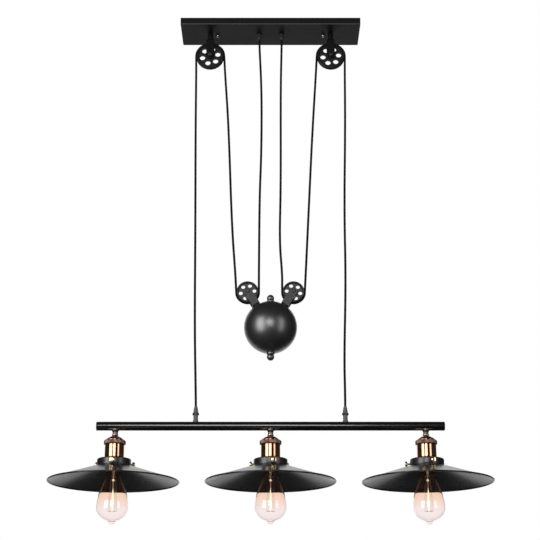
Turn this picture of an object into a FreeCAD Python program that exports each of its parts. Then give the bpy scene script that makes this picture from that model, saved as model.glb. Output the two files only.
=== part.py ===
import FreeCAD, Part
import math
import os
from FreeCAD import Vector

# A rise and fall pendant: a ceiling canopy, two cords that run down to a counterweight
# ball and over two upper pulleys, and a bar that carries three shaded lamps.
# Millimetres. The origin is the middle of the ceiling face, +Z is up, -Y is the front.

# ---- running and seating clearances ----
RUNNING = 0.05  # a shaft in its bore
SEAT = 0.1  # a fixed piece in its hole
CORD_GAP = 0.3  # a cord beside anything that moves against it
SIDE_PLAY = 0.5  # a pulley hub beside each cheek of its fork

# ---- cord ----
CORD_R = 2.4
CORD_TAIL = 5.0  # how far a cord goes on past the floor of the canopy
CORD_BITE = 10.0  # how far a cord goes into a bar grip

# ---- ceiling canopy and what it hangs from ----
CANOPY_LENGTH = 395.0
CANOPY_DEPTH = 94.0
CANOPY_HEIGHT = 16.0
CANOPY_WALL = 1.2
CANOPY_FOLD_R = 1.6
BRACKET_OVERHANG = 13.0  # bracket past each stud
BRACKET_WIDTH = 25.0
BRACKET_THICKNESS = 2.0
SLOT_SPACING = 88.0
SLOT_LENGTH = 14.0
SLOT_WIDTH = 4.6
STUD_R = 2.0
STUD_X = 117.0
STUD_RECESS = 0.2
STUD_NUT_R = 4.0
STUD_NUT_HEIGHT = 3.2
CAP_NUT_R = 3.8
CAP_NUT_SEAT_R = 3.1
CAP_NUT_DEPTH = 4.0
TERMINAL_LENGTH = 30.0
TERMINAL_WIDTH = 16.0
TERMINAL_HEIGHT = 10.0
TERMINAL_SCREW_R = 1.9
TERMINAL_SCREW_DEPTH = 4.0
TERMINAL_POLES = 3

# ---- cord grips in the canopy ----
GRIP_X = 25.0
GRIP_LENGTH = 13.0
GRIP_R = 5.2
GRIP_FLANGE_R = 6.4
GRIP_FLANGE_HEIGHT = 2.5
GRIP_THREAD_R = 4.5
GRIP_THREAD_UP = 4.0  # thread standing above the floor of the canopy
LOCK_NUT_R = 7.0
LOCK_NUT_HEIGHT = 3.0

# ---- upper forks, their stems and axles ----
FORK_X = 133.5
FORK_DROP = 16.0  # from the canopy to the top of the bridge
FORK_WIDTH = 17.0
FORK_THICKNESS = 2.5
FORK_CORNER_R = 3.0
FORK_TIP = 6.5  # cheek below the axle
STEM_R = 5.8
STEM_SPIGOT_R = 4.0
STEM_SPIGOT_UP = 6.0

# ---- pulleys ----
UPPER_PITCH_R = 31.0
UPPER_AXLE_Z = -70.0
UPPER_AXLE_R = 3.0
UPPER_HOLE_CIRCLE_R = 17.4
UPPER_HOLE_R = 6.1
UPPER_HUB_R = 7.5
UPPER_TURN = {-1: 14.0, 1: 8.0}  # degrees that the ring of holes is turned by
LOWER_PITCH_R = 23.4
LOWER_AXLE_R = 2.5
LOWER_HOLE_CIRCLE_R = 14.2
LOWER_HOLE_R = 4.2
LOWER_HUB_R = 6.5
LOWER_TURN = {-1: 10.0, 1: -10.0}
FLANGE_LIP = 0.8  # how far the cord's middle lies inside the flange's edge
RIM_WIDTH = 12.0
RIM_DEPTH = 2.2
RIM_FLANK = 1.6  # slope of the rim's inner flank, outwards
RIM_EDGE = 1.2
WEB_THICKNESS = 6.0
HUB_WIDTH = 16.0
HOLE_COUNT = 6
AXLE_HEAD_R = 4.2
AXLE_HEAD_HEIGHT = 2.4
AXLE_NUT_R = 5.0
AXLE_NUT_HEIGHT = 3.5

# ---- counterweight ----
BALL_R = 54.5
BALL_Z = -694.6
BALL_WALL = 2.0
BALLAST_GAP = 0.4
BALLAST_TRIM = 5.7  # the ballast is turned flat this far inside the ball's top and foot
ROD_R = 3.0
FINIAL_R = 7.6
FINIAL_RISE = 8.1  # from the ball's skin to the finial's middle
FINIAL_COLLAR_R = 8.4
FINIAL_COLLAR_HEIGHT = 2.9
FINIAL_EDGE_R = 1.2
ROD_RISE = 6.5
YOKE_RISE = 35.0  # from the ball's skin to the lower axle
YOKE_ANGLE = 32.1  # degrees from upright
YOKE_WIDTH = 16.6
YOKE_THICKNESS = 2.5
YOKE_CORNER_R = 3.0
YOKE_STANDOFF = 0.6
YOKE_SEAT_R = 8.0
YOKE_TIP = 7.5
YOKE_BOLT_R = 2.5
YOKE_BOLT_HEAD_R = 4.2
YOKE_BOLT_HEAD_HEIGHT = 2.4
YOKE_BOLT_DEPTH = 18.0

# ---- bar ----
BAR_Z = -900.0
BAR_R = 9.0
BAR_OVERHANG = 38.0  # bar past the outer lamps
BAR_WALL = 1.3
END_CAP_THICKNESS = 1.4
END_PLUG_LENGTH = 8.0
BAR_GRIP_X = 150.0
BAR_GRIP_HEIGHT = 31.0
BAR_GRIP_R = 5.5
BAR_GRIP_BODY = 13.0
BAR_GRIP_EAR_R = 6.6
BAR_GRIP_EAR_HEIGHT = 5.0
BAR_GRIP_NECK_R = 4.4
BAR_GRIP_CHAMFER = 1.0
BAR_GRIP_SPIGOT_R = 5.0
BAR_GRIP_SPIGOT_DOWN = 5.0
LEAD_R = 2.4

# ---- lamps ----
LAMP_SPACING = 310.0
NIPPLE_R = 5.4
NIPPLE_FLARE_R = 7.2
NIPPLE_FLARE_HEIGHT = 3.5
NIPPLE_DROP = 11.0  # bar's underside to the top of the socket
NIPPLE_SPIGOT_R = 5.0
NIPPLE_SPIGOT_UP = 5.0
NIPPLE_THREAD_R = 4.5
NIPPLE_THREAD_DOWN = 6.0
NIPPLE_BORE_R = 2.6
CAP_HEIGHT = 9.8
CAP_R = 20.4
CAP_NECK_R = 6.6
CAP_SHOULDER_R = 13.6
CAP_SHOULDER_DOWN = 3.8
CAP_WALL = 1.2
RING_R = 21.75
RING_HEIGHT = 7.6
RING_EDGE = 0.6
SHELL_R = 19.5
SHELL_WALL = 2.5
SHELL_THREAD_R = 18.2
SHELL_FLANGE_R = 24.0
SHELL_FLANGE_HEIGHT = 2.0
SHELL_HEIGHT = 32.0  # from the knurled ring down to the foot of the flange
CORE_TOP_GAP = 3.0
CORE_ROOF = 20.0
CORE_ABOVE_FOOT = 1.6  # the core's foot above the foot of the bulb's base
CONTACT_R = 4.0
CONTACT_THICKNESS = 0.8
COLLAR_R = 33.75
COLLAR_HEIGHT = 13.8
COLLAR_WALL = 1.2
COLLAR_EDGE_R = 2.6
SCREW_COUNT = 3
SCREW_UNDER_LIP = 1.0  # between the shade's lip and the screw
SCREW_R = 2.0
SCREW_HEAD_R = 6.0
SCREW_HEAD_FROM = 39.5
SCREW_HEAD_TO = 44.5
SCREW_EDGE = 1.8
SCREW_TURN = {"left": 1.0, "centre": 9.0, "right": 12.0}  # the front screw, from the front

# ---- shades ----
SHADE_R = 130.0
SHADE_FALL = 30.7  # the cone's drop
SHADE_SHEET = 0.8
SHADE_NECK_R = 28.8
SHADE_NECK_HEIGHT = 9.6
SHADE_LIP = 1.3
SHADE_SHOULDER = 0.8  # flat outside the collar's wall
RIM_ROLL_R = 1.6

# ---- bulbs ----
BASE_R = 13.0
BASE_WALL = 0.8
BASE_HEIGHT = 25.0
BASE_CONE = 3.5
BASE_TIP_R = 5.0
BASE_TOP_GAP = 0.2  # below the contact
GLASS_R = 32.0
GLASS_WALL = 0.9
GLASS_NECK_R = 13.4
GLASS_NECK_UP = 7.0  # neck held inside the base
GLASS_LENGTH = 115.7
GLASS_WIDEST = 83.0  # below the base
GLASS_FLANK = 36.0
GLASS_FLANK_R = 20.6
GLASS_BOWL = 26.6  # the bowl's depth below the widest place
BOWL_MIDDLE = 0.7  # where the bowl's middle point lies, as a share of the widest radius
GLASS_NUB_R = 8.2
NUB_WAIST = 0.6  # the tip's waist, as a share of the nub's radius and height
STEM_TUBE_R = 3.0
STEM_LENGTH = 40.0
STEM_FLARE_HEIGHT = 3.0
FILAMENT_R = 0.45
FILAMENT_SPREAD = 9.0
FILAMENT_DOWN = 84.0
FILAMENT_STRANDS = 4

FULL_TURN = 360.0
HEX_SIDES = 6
SIDES = {"left": -1, "right": 1}
LAMPS = {"left": -1, "centre": 0, "right": 1}

UP = Vector(0, 0, 1)
REAR = Vector(0, 1, 0)

# ---- places worked out from the sizes above ----
CANOPY_FLOOR_Z = -CANOPY_HEIGHT
CANOPY_INNER_Z = CANOPY_FLOOR_Z + CANOPY_WALL
BRACKET_LENGTH = 2 * (STUD_X + BRACKET_OVERHANG)
FORK_TOP_Z = CANOPY_FLOOR_Z - FORK_DROP
CHEEK_IN = HUB_WIDTH / 2 + SIDE_PLAY
FORK_OUT = CHEEK_IN + FORK_THICKNESS
YOKE_OUT = CHEEK_IN + YOKE_THICKNESS
BALLAST_FLAT = BALL_R - BALLAST_TRIM
FINIAL_OUT = BALL_R + FINIAL_RISE
FINIAL_COLLAR_OUT = BALL_R + FINIAL_COLLAR_HEIGHT
ROD_OUT = BALL_R + ROD_RISE
YOKE_BASE = BALL_R + YOKE_STANDOFF
YOKE_REACH = BALL_R + YOKE_RISE
LOWER_AXLE_X = YOKE_REACH * math.sin(math.radians(YOKE_ANGLE))
LOWER_AXLE_Z = BALL_Z + YOKE_REACH * math.cos(math.radians(YOKE_ANGLE))
BAR_LENGTH = 2 * (LAMP_SPACING + BAR_OVERHANG)
BAR_TOP_Z = BAR_Z + BAR_R
BAR_UNDER_Z = BAR_Z - BAR_R
BAR_BORE_R = BAR_R - BAR_WALL
BAR_GRIP_TOP_Z = BAR_TOP_Z + BAR_GRIP_HEIGHT
NIPPLE_TOP_Z = BAR_UNDER_Z + NIPPLE_SPIGOT_UP
CAP_TOP_Z = BAR_UNDER_Z - NIPPLE_DROP
RING_TOP_Z = CAP_TOP_Z - CAP_HEIGHT
RING_BOTTOM_Z = RING_TOP_Z - RING_HEIGHT
SHELL_FOOT_Z = RING_BOTTOM_Z - SHELL_HEIGHT
FLANGE_TOP_Z = SHELL_FOOT_Z + SHELL_FLANGE_HEIGHT
COLLAR_TOP_Z = FLANGE_TOP_Z + COLLAR_WALL
COLLAR_FOOT_Z = COLLAR_TOP_Z - COLLAR_HEIGHT
NECK_TOP_Z = COLLAR_FOOT_Z + SHADE_NECK_HEIGHT
SCREW_Z = NECK_TOP_Z - SHADE_SHEET - SCREW_UNDER_LIP - SCREW_R
CORE_TOP_Z = RING_TOP_Z - CORE_TOP_GAP
CONTACT_Z = CORE_TOP_Z - CORE_ROOF
BASE_TOP_Z = CONTACT_Z - CONTACT_THICKNESS - BASE_TOP_GAP
BASE_FOOT_Z = BASE_TOP_Z - BASE_HEIGHT
CORE_FOOT_Z = BASE_FOOT_Z + CORE_ABOVE_FOOT
SHADE_FLAT_R = COLLAR_R + SHADE_SHOULDER
ROLL_R = SHADE_R - RIM_ROLL_R
ROLL_Z = COLLAR_FOOT_Z - SHADE_FALL - SHADE_SHEET / 2


def cylinder(r, low, high, x=0.0, y=0.0):
    """An upright cylinder from one height to another."""
    return Part.makeCylinder(r, high - low, Vector(x, y, low), UP)


def across(r, front, rear, x, z):
    """A cylinder that lies along Y."""
    return Part.makeCylinder(r, rear - front, Vector(x, front, z), REAR)


def block(length, width, low, high, x=0.0):
    return Part.makeBox(length, width, high - low, Vector(x - length / 2, -width / 2, low))


def on_circle(r, degrees, z=0.0):
    a = math.radians(degrees)
    return Vector(r * math.cos(a), r * math.sin(a), z)


def hexagon(r, low, high):
    """An upright hexagonal prism, r to its corners."""
    corners = [on_circle(r, FULL_TURN * i / HEX_SIDES, low) for i in range(HEX_SIDES + 1)]
    return Part.Face(Part.makePolygon(corners)).extrude(Vector(0, 0, high - low))


def turned(outline):
    """A solid turned about Z from (radius, height) points, or from edges."""
    if not hasattr(outline[0], "Curve"):
        points = [Vector(r, 0, z) for r, z in outline]
        wire = Part.makePolygon(points + points[:1])
    else:
        wire = Part.Wire(outline)
    return Part.Face(wire).revolve(Vector(0, 0, 0), UP, FULL_TURN)


def line(a, b):
    return Part.LineSegment(Vector(a[0], 0, a[1]), Vector(b[0], 0, b[1])).toShape()


def arc(a, middle, b):
    points = [Vector(r, 0, z) for r, z in (a, middle, b)]
    return Part.Arc(*points).toShape()


def curve(points, leaves, arrives):
    """A smooth edge through (radius, height) points, with its direction at both ends."""
    spline = Part.BSplineCurve()
    spline.interpolate(
        Points=[Vector(r, 0, z) for r, z in points],
        InitialTangent=Vector(leaves).normalize(),
        FinalTangent=Vector(arrives).normalize(),
    )
    return spline.toShape()


def moved(shape, x=0.0, y=0.0, z=0.0):
    copy = shape.copy()
    copy.translate(Vector(x, y, z))
    return copy


def turned_by(shape, degrees, axis=UP, x=0.0, z=0.0):
    copy = shape.copy()
    copy.rotate(Vector(x, 0, z), axis, degrees)
    return copy


def at_lamps(shape):
    return [moved(shape, LAMPS[name] * LAMP_SPACING) for name in LAMPS]


def both(shape, x):
    """The shape at -x and at +x."""
    return [moved(shape, -x), moved(shape, x)]


def save(name, *solids):
    shape = solids[0] if len(solids) == 1 else Part.makeCompound(list(solids))
    if not shape.isValid():
        raise ValueError(name + " isn't a valid shape")
    shape.exportStep(os.path.join("parts", name + ".step"))


# ---------------------------------------------------------------- canopy


def canopy_shell():
    outer = block(CANOPY_LENGTH, CANOPY_DEPTH, CANOPY_FLOOR_Z, 0)
    folds = [e for e in outer.Edges if all(v.Z < CANOPY_FLOOR_Z + SEAT for v in e.Vertexes)]
    corners = [e for e in outer.Edges if abs(e.Vertexes[0].Z - e.Vertexes[1].Z) > SEAT]
    outer = outer.makeFillet(CANOPY_FOLD_R, folds + corners)
    inner = block(
        CANOPY_LENGTH - 2 * CANOPY_WALL, CANOPY_DEPTH - 2 * CANOPY_WALL, CANOPY_INNER_Z, CANOPY_WALL
    )
    shell = outer.cut(inner)
    for r, x in ((STUD_R, STUD_X), (GRIP_THREAD_R, GRIP_X), (STEM_SPIGOT_R, FORK_X)):
        hole = cylinder(r + SEAT, CANOPY_FLOOR_Z - SEAT, CANOPY_INNER_Z + SEAT)
        shell = shell.cut(Part.makeCompound(both(hole, x)))
    return shell


def slot(x):
    """A slot through the bracket, long way along X."""
    r = SLOT_WIDTH / 2
    low, high = -BRACKET_THICKNESS - SEAT, SEAT
    straight = SLOT_LENGTH - SLOT_WIDTH
    ends = [cylinder(r, low, high, x + side * straight / 2) for side in (-1, 1)]
    return block(straight, SLOT_WIDTH, low, high, x).multiFuse(ends)


def mounting_bracket():
    bracket = block(BRACKET_LENGTH, BRACKET_WIDTH, -BRACKET_THICKNESS, 0)
    stud_hole = cylinder(STUD_R + RUNNING, -BRACKET_THICKNESS - SEAT, SEAT)
    cuts = both(stud_hole, STUD_X) + [slot(side * SLOT_SPACING / 2) for side in (-1, 1)]
    for cut in cuts:
        bracket = bracket.cut(cut)
    return bracket


def canopy_stud():
    """A threaded stud and the nut that locks it under the bracket."""
    stud = cylinder(STUD_R, CANOPY_FLOOR_Z - CAP_NUT_DEPTH, -STUD_RECESS)
    nut_top = -BRACKET_THICKNESS
    nut = hexagon(STUD_NUT_R, nut_top - STUD_NUT_HEIGHT, nut_top)
    bore = cylinder(STUD_R + RUNNING, nut_top - STUD_NUT_HEIGHT - SEAT, nut_top + SEAT)
    return stud, nut.cut(bore)


def canopy_cap_nut():
    """A ball nut with a flat seat against the canopy."""
    middle = CANOPY_FLOOR_Z - math.sqrt(CAP_NUT_R**2 - CAP_NUT_SEAT_R**2)
    ball = Part.makeSphere(CAP_NUT_R, Vector(0, 0, middle))
    ball = ball.cut(cylinder(2 * CAP_NUT_R, CANOPY_FLOOR_Z, 0))
    low = CANOPY_FLOOR_Z - CAP_NUT_DEPTH - SEAT
    return ball.cut(cylinder(STUD_R + RUNNING, low, CANOPY_FLOOR_Z + SEAT))


def terminal_block():
    top = -BRACKET_THICKNESS
    body = block(TERMINAL_LENGTH, TERMINAL_WIDTH, top - TERMINAL_HEIGHT, top)
    pitch = TERMINAL_LENGTH / TERMINAL_POLES
    for pole in range(TERMINAL_POLES):
        x = (pole - (TERMINAL_POLES - 1) / 2) * pitch
        low = top - TERMINAL_HEIGHT - SEAT
        body = body.cut(cylinder(TERMINAL_SCREW_R, low, low + TERMINAL_SCREW_DEPTH, x))
    return body


def canopy_cord_grip():
    """A threaded gland: flange against the canopy, body below it, cord bore right through."""
    top = CANOPY_INNER_Z + GRIP_THREAD_UP
    low = CANOPY_FLOOR_Z - GRIP_LENGTH
    under_flange = CANOPY_FLOOR_Z - GRIP_FLANGE_HEIGHT
    bore = CORD_R + SEAT
    return turned(
        [
            (bore, top),
            (GRIP_THREAD_R, top),
            (GRIP_THREAD_R, CANOPY_FLOOR_Z),
            (GRIP_FLANGE_R, CANOPY_FLOOR_Z),
            (GRIP_FLANGE_R, under_flange),
            (GRIP_R, under_flange),
            (GRIP_R, low + GRIP_FLANGE_HEIGHT),
            ((bore + GRIP_R) / 2, low),
            (bore, low),
        ]
    )


def lock_nut(thread_r):
    """A hexagonal nut on the canopy's floor, inside."""
    nut = hexagon(LOCK_NUT_R, CANOPY_INNER_Z, CANOPY_INNER_Z + LOCK_NUT_HEIGHT)
    return nut.cut(cylinder(thread_r + RUNNING, CANOPY_INNER_Z - SEAT, 0))


# ---------------------------------------------------------------- forks and yokes


def strap(outside, thickness, width, base, tip, corner_r):
    """A flat strap bent into a U about the Y direction's middle, with round tips.

    base and tip are heights, and the strap's base may be above or below its tips.
    """
    way = 1 if tip > base else -1
    low, high = sorted((base, tip))
    shape = block(width, 2 * outside, low, high)
    edges = [
        e
        for e in shape.Edges
        if all(abs(v.Z - base) < SEAT for v in e.Vertexes)
        and abs(e.Vertexes[0].X - e.Vertexes[1].X) > SEAT
    ]
    shape = shape.makeFillet(corner_r, edges)
    inside = sorted((base + way * thickness, tip + way * thickness))
    shape = shape.cut(block(2 * width, 2 * (outside - thickness), *inside))
    r = width / 2
    round_at = tip - way * r
    tips = across(r, -outside, outside, 0, round_at)
    keep = sorted((base - way * thickness, round_at))
    return shape.common(block(width, 4 * outside, *keep).fuse(tips))


def fork():
    """The upper fork, hung from its bridge, upright at X 0."""
    shape = strap(
        FORK_OUT, FORK_THICKNESS, FORK_WIDTH, FORK_TOP_Z, UPPER_AXLE_Z - FORK_TIP, FORK_CORNER_R
    )
    shape = shape.cut(cylinder(STEM_SPIGOT_R + SEAT, FORK_TOP_Z - FORK_DROP, FORK_TOP_Z + SEAT))
    return shape.cut(across(UPPER_AXLE_R + RUNNING, -2 * FORK_OUT, 2 * FORK_OUT, 0, UPPER_AXLE_Z))


def fork_stem():
    """The stem between the canopy and the bridge, with a spigot through each."""
    body = cylinder(STEM_R, FORK_TOP_Z, CANOPY_FLOOR_Z)
    top = CANOPY_INNER_Z + STEM_SPIGOT_UP
    return body.fuse(cylinder(STEM_SPIGOT_R, FORK_TOP_Z - FORK_THICKNESS, top))


def axle(r, outside, x, z):
    """A screw across a fork or yoke, head at the front, and its nut at the rear."""
    head = across(AXLE_HEAD_R, -outside - AXLE_HEAD_HEIGHT, -outside, x, z)
    edge = [e for e in head.Edges if e.Closed and e.Vertexes[0].Y < -outside - SEAT]
    head = head.makeFillet(AXLE_HEAD_HEIGHT / 2, edge)
    end = outside + AXLE_NUT_HEIGHT
    screw = head.fuse(across(r, -outside - SEAT, end, x, z)).removeSplitter()
    nut = hexagon(AXLE_NUT_R, 0, AXLE_NUT_HEIGHT)
    nut.rotate(Vector(0, 0, 0), Vector(1, 0, 0), -90)
    nut = moved(nut, x, outside, z)
    return screw, nut.cut(across(r + RUNNING, outside - SEAT, end + SEAT, x, z))


def pulley(pitch_r, axle_r, hub_r, circle_r, hole_r, turn):
    """A grooved wheel about the Y axis through the origin, with a ring of round holes."""
    root_r = pitch_r - CORD_R - CORD_GAP
    flange_r = pitch_r - FLANGE_LIP
    rim_in = root_r - RIM_DEPTH
    half_root = CORD_R + CORD_GAP
    half_rim, half_web, half_hub = RIM_WIDTH / 2, WEB_THICKNESS / 2, HUB_WIDTH / 2
    half_mouth = (half_root + half_rim) / 2
    bore_r = axle_r + RUNNING
    near = [
        (bore_r, -half_hub),
        (hub_r, -half_hub),
        (hub_r, -half_web),
        (rim_in, -half_web),
        (rim_in + RIM_FLANK, -half_rim),
        (flange_r - RIM_EDGE, -half_rim),
        (flange_r, RIM_EDGE - half_rim),
        (flange_r, -half_mouth),
        (root_r, -half_root),
    ]
    wheel = turned(near + [(r, -h) for r, h in reversed(near)])
    for i in range(HOLE_COUNT):
        middle = on_circle(circle_r, turn + FULL_TURN * i / HOLE_COUNT)
        wheel = wheel.cut(cylinder(hole_r, -half_rim, half_rim, middle.x, middle.y))
    wheel.rotate(Vector(0, 0, 0), Vector(1, 0, 0), 90)
    return wheel


def upper_pulley(side):
    wheel = pulley(
        UPPER_PITCH_R,
        UPPER_AXLE_R,
        UPPER_HUB_R,
        UPPER_HOLE_CIRCLE_R,
        UPPER_HOLE_R,
        UPPER_TURN[side],
    )
    return moved(wheel, side * FORK_X, 0, UPPER_AXLE_Z)


def lower_pulley(side):
    wheel = pulley(
        LOWER_PITCH_R,
        LOWER_AXLE_R,
        LOWER_HUB_R,
        LOWER_HOLE_CIRCLE_R,
        LOWER_HOLE_R,
        LOWER_TURN[side],
    )
    return moved(wheel, side * LOWER_AXLE_X, 0, LOWER_AXLE_Z)


# ---------------------------------------------------------------- counterweight


def ball(r):
    return Part.makeSphere(r)


def leaned(shape, side):
    """A piece made upright on the ball, leaned out to its side and set on the ball."""
    return moved(turned_by(shape, side * YOKE_ANGLE, REAR), 0, 0, BALL_Z)


def yoke_bolt():
    """The screw that holds a yoke down, upright, with its head inside the yoke."""
    under_head = YOKE_BASE + YOKE_THICKNESS
    head = cylinder(YOKE_BOLT_HEAD_R, under_head, under_head + YOKE_BOLT_HEAD_HEIGHT)
    return head.fuse(cylinder(YOKE_BOLT_R, BALL_R - YOKE_BOLT_DEPTH, under_head))


def yoke():
    """A yoke upright over the ball's middle, its seat shaped to the ball."""
    tip = YOKE_REACH + YOKE_TIP
    shape = strap(YOKE_OUT, YOKE_THICKNESS, YOKE_WIDTH, YOKE_BASE, tip, YOKE_CORNER_R)
    shape = shape.fuse(cylinder(YOKE_SEAT_R, BALL_R - YOKE_STANDOFF, YOKE_BASE)).cut(ball(BALL_R))
    hole = cylinder(YOKE_BOLT_R + RUNNING, BALL_R - YOKE_SEAT_R, YOKE_BASE + 2 * YOKE_THICKNESS)
    shape = shape.cut(hole)
    return shape.cut(across(LOWER_AXLE_R + RUNNING, -2 * YOKE_OUT, 2 * YOKE_OUT, 0, YOKE_REACH))


def ball_half(side):
    """One spun half shell of the ball, in place: side 1 is the upper one."""
    shell = ball(BALL_R).cut(ball(BALL_R - BALL_WALL))
    low, high = sorted((0, side * 2 * BALL_R))
    shell = shell.common(cylinder(2 * BALL_R, low, high))
    shell = shell.cut(cylinder(ROD_R + RUNNING, -2 * BALL_R, 2 * BALL_R))
    shell = moved(shell, 0, 0, BALL_Z)
    for way in SIDES.values():
        hole = cylinder(YOKE_BOLT_R + RUNNING, 0, 2 * BALL_R)
        shell = shell.cut(leaned(hole, way))
    return shell


def ball_ballast():
    """The iron core, with the rod's bore and a blind hole for each yoke screw."""
    core = ball(BALL_R - BALL_WALL - BALLAST_GAP)
    core = core.common(cylinder(2 * BALL_R, -BALLAST_FLAT, BALLAST_FLAT))
    core = core.cut(cylinder(ROD_R + RUNNING, -BALL_R, BALL_R))
    core = moved(core, 0, 0, BALL_Z)
    for way in SIDES.values():
        low = BALL_R - YOKE_BOLT_DEPTH - SEAT
        core = core.cut(leaned(cylinder(YOKE_BOLT_R + RUNNING, low, BALL_R), way))
    return core


def finial(side):
    """A ball finial with a collar, seated on the ball and threaded on the rod."""
    collar = cylinder(FINIAL_COLLAR_R, BALL_R - YOKE_STANDOFF, FINIAL_COLLAR_OUT)
    top = [e for e in collar.Edges if e.Closed and e.Vertexes[0].Z > FINIAL_COLLAR_OUT - SEAT]
    collar = collar.makeFillet(FINIAL_EDGE_R, top)
    shape = collar.fuse(Part.makeSphere(FINIAL_R, Vector(0, 0, FINIAL_OUT)))
    shape = shape.cut(ball(BALL_R)).cut(cylinder(ROD_R + RUNNING, 0, ROD_OUT + SEAT))
    if side < 0:
        shape.rotate(Vector(0, 0, 0), Vector(1, 0, 0), 180)
    return moved(shape, 0, 0, BALL_Z)


# ---------------------------------------------------------------- cords


def tangent(centre, r, point, side):
    """Where a straight line from a point below or above touches a circle's side (X, Z)."""
    dx, dz = point[0] - centre[0], point[1] - centre[1]
    far = math.hypot(dx, dz)
    towards, open_by = math.atan2(dz, dx), math.acos(r / far)
    angles = (towards + open_by, towards - open_by)
    angle = max(angles, key=lambda a: side * math.cos(a))
    return centre[0] + r * math.cos(angle), centre[1] + r * math.sin(angle)


def crossing(upper, upper_r, lower, lower_r, side):
    """The line from the upper circle's inner side to the lower circle's outer side."""
    dx, dz = side * (upper[0] - lower[0]), upper[1] - lower[1]
    far = math.hypot(dx, dz)
    lean = math.atan2(dx, dz) - math.asin((upper_r + lower_r) / far)
    out = (side * math.cos(lean), -math.sin(lean))
    leave = (upper[0] - upper_r * out[0], upper[1] - upper_r * out[1])
    meet = (lower[0] + lower_r * out[0], lower[1] + lower_r * out[1])
    return leave, meet


def run(a, b):
    """A straight stretch of cord between two (X, Z) points."""
    start, end = Vector(a[0], 0, a[1]), Vector(b[0], 0, b[1])
    return Part.makeCylinder(CORD_R, (end - start).Length, start, end - start)


def wrap(centre, a, b, over):
    """Cord laid round a wheel from a to b, over its top or under its foot."""
    start = math.atan2(a[1] - centre[1], a[0] - centre[0])
    end = math.atan2(b[1] - centre[1], b[0] - centre[0])
    full = 2 * math.pi
    sweep = (end - start) % full
    through = math.sin(start + sweep / 2)
    if (through > 0) != over:
        sweep -= full
    tangent_way = Vector(-math.sin(start), 0, math.cos(start))
    ring = Part.Wire(Part.makeCircle(CORD_R, Vector(a[0], 0, a[1]), tangent_way))
    middle = Vector(centre[0], 0, centre[1])
    return Part.Face(ring).revolve(middle, Vector(0, -1, 0), math.degrees(sweep))


def cord_pieces(side):
    """One cord, from the canopy down to the ball, up over the pulley and down to the bar."""
    upper = (side * FORK_X, UPPER_AXLE_Z)
    lower = (side * LOWER_AXLE_X, LOWER_AXLE_Z)
    start = (side * GRIP_X, CANOPY_INNER_Z + CORD_TAIL)
    end = (side * BAR_GRIP_X, BAR_GRIP_TOP_Z - CORD_BITE)
    down = tangent(lower, LOWER_PITCH_R, start, -side)
    leave, meet = crossing(upper, UPPER_PITCH_R, lower, LOWER_PITCH_R, side)
    over = tangent(upper, UPPER_PITCH_R, end, side)
    return {
        "canopy_run": run(start, down),
        "lower_wrap": wrap(lower, down, meet, False),
        "inner_run": run(meet, leave),
        "upper_wrap": wrap(upper, leave, over, True),
        "bar_run": run(over, end),
    }


# ---------------------------------------------------------------- bar


def along_bar(r, length, x=0.0):
    return Part.makeCylinder(r, length, Vector(x - length / 2, 0, BAR_Z), Vector(1, 0, 0))


def bar_tube():
    length = BAR_LENGTH - 2 * END_CAP_THICKNESS
    tube = along_bar(BAR_R, length).cut(along_bar(BAR_BORE_R, BAR_LENGTH))
    for hole in both(cylinder(BAR_GRIP_SPIGOT_R + SEAT, BAR_Z, BAR_TOP_Z + SEAT), BAR_GRIP_X):
        tube = tube.cut(hole)
    for hole in at_lamps(cylinder(NIPPLE_SPIGOT_R + SEAT, BAR_UNDER_Z - SEAT, BAR_Z)):
        tube = tube.cut(hole)
    return tube


def bar_end_cap(side):
    outer = along_bar(BAR_R, END_CAP_THICKNESS, side * (BAR_LENGTH - END_CAP_THICKNESS) / 2)
    rim = [e for e in outer.Edges if e.Closed and side * e.Vertexes[0].X > BAR_LENGTH / 2 - SEAT]
    outer = outer.makeFillet(END_CAP_THICKNESS / 2, rim)
    inside = BAR_LENGTH / 2 - END_CAP_THICKNESS - END_PLUG_LENGTH / 2
    return outer.fuse(along_bar(BAR_BORE_R - SEAT, END_PLUG_LENGTH, side * inside))


def bar_cord_grip():
    """A strain relief that stands on the bar, its foot shaped to the tube."""
    body_top = BAR_TOP_Z + BAR_GRIP_BODY
    ear_top = body_top + BAR_GRIP_EAR_HEIGHT
    bore = CORD_R + CORD_GAP + SEAT
    foot = turned(
        [
            (0, BAR_Z),
            (BAR_GRIP_R, BAR_Z),
            (BAR_GRIP_R, body_top),
            (BAR_GRIP_EAR_R, body_top),
            (BAR_GRIP_EAR_R, ear_top),
            (BAR_GRIP_NECK_R, ear_top + BAR_GRIP_EAR_R - BAR_GRIP_NECK_R),
            (BAR_GRIP_NECK_R, BAR_GRIP_TOP_Z - BAR_GRIP_CHAMFER),
            ((bore + BAR_GRIP_NECK_R) / 2, BAR_GRIP_TOP_Z),
            (0, BAR_GRIP_TOP_Z),
        ]
    )
    grip = foot.cut(along_bar(BAR_R, BAR_LENGTH))
    spigot = cylinder(BAR_GRIP_SPIGOT_R, BAR_TOP_Z - BAR_GRIP_SPIGOT_DOWN, body_top)
    grip = grip.fuse(spigot)
    return grip.cut(cylinder(bore, BAR_GRIP_TOP_Z - CORD_BITE - SEAT, BAR_GRIP_TOP_Z + SEAT))


def bar_lead():
    """The lead that lies along the bar, on the upper ends of the nipples."""
    lead = along_bar(LEAD_R, 2 * LAMP_SPACING)
    return moved(lead, 0, 0, NIPPLE_TOP_Z + LEAD_R + SEAT - BAR_Z)


# ---------------------------------------------------------------- sockets


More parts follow.
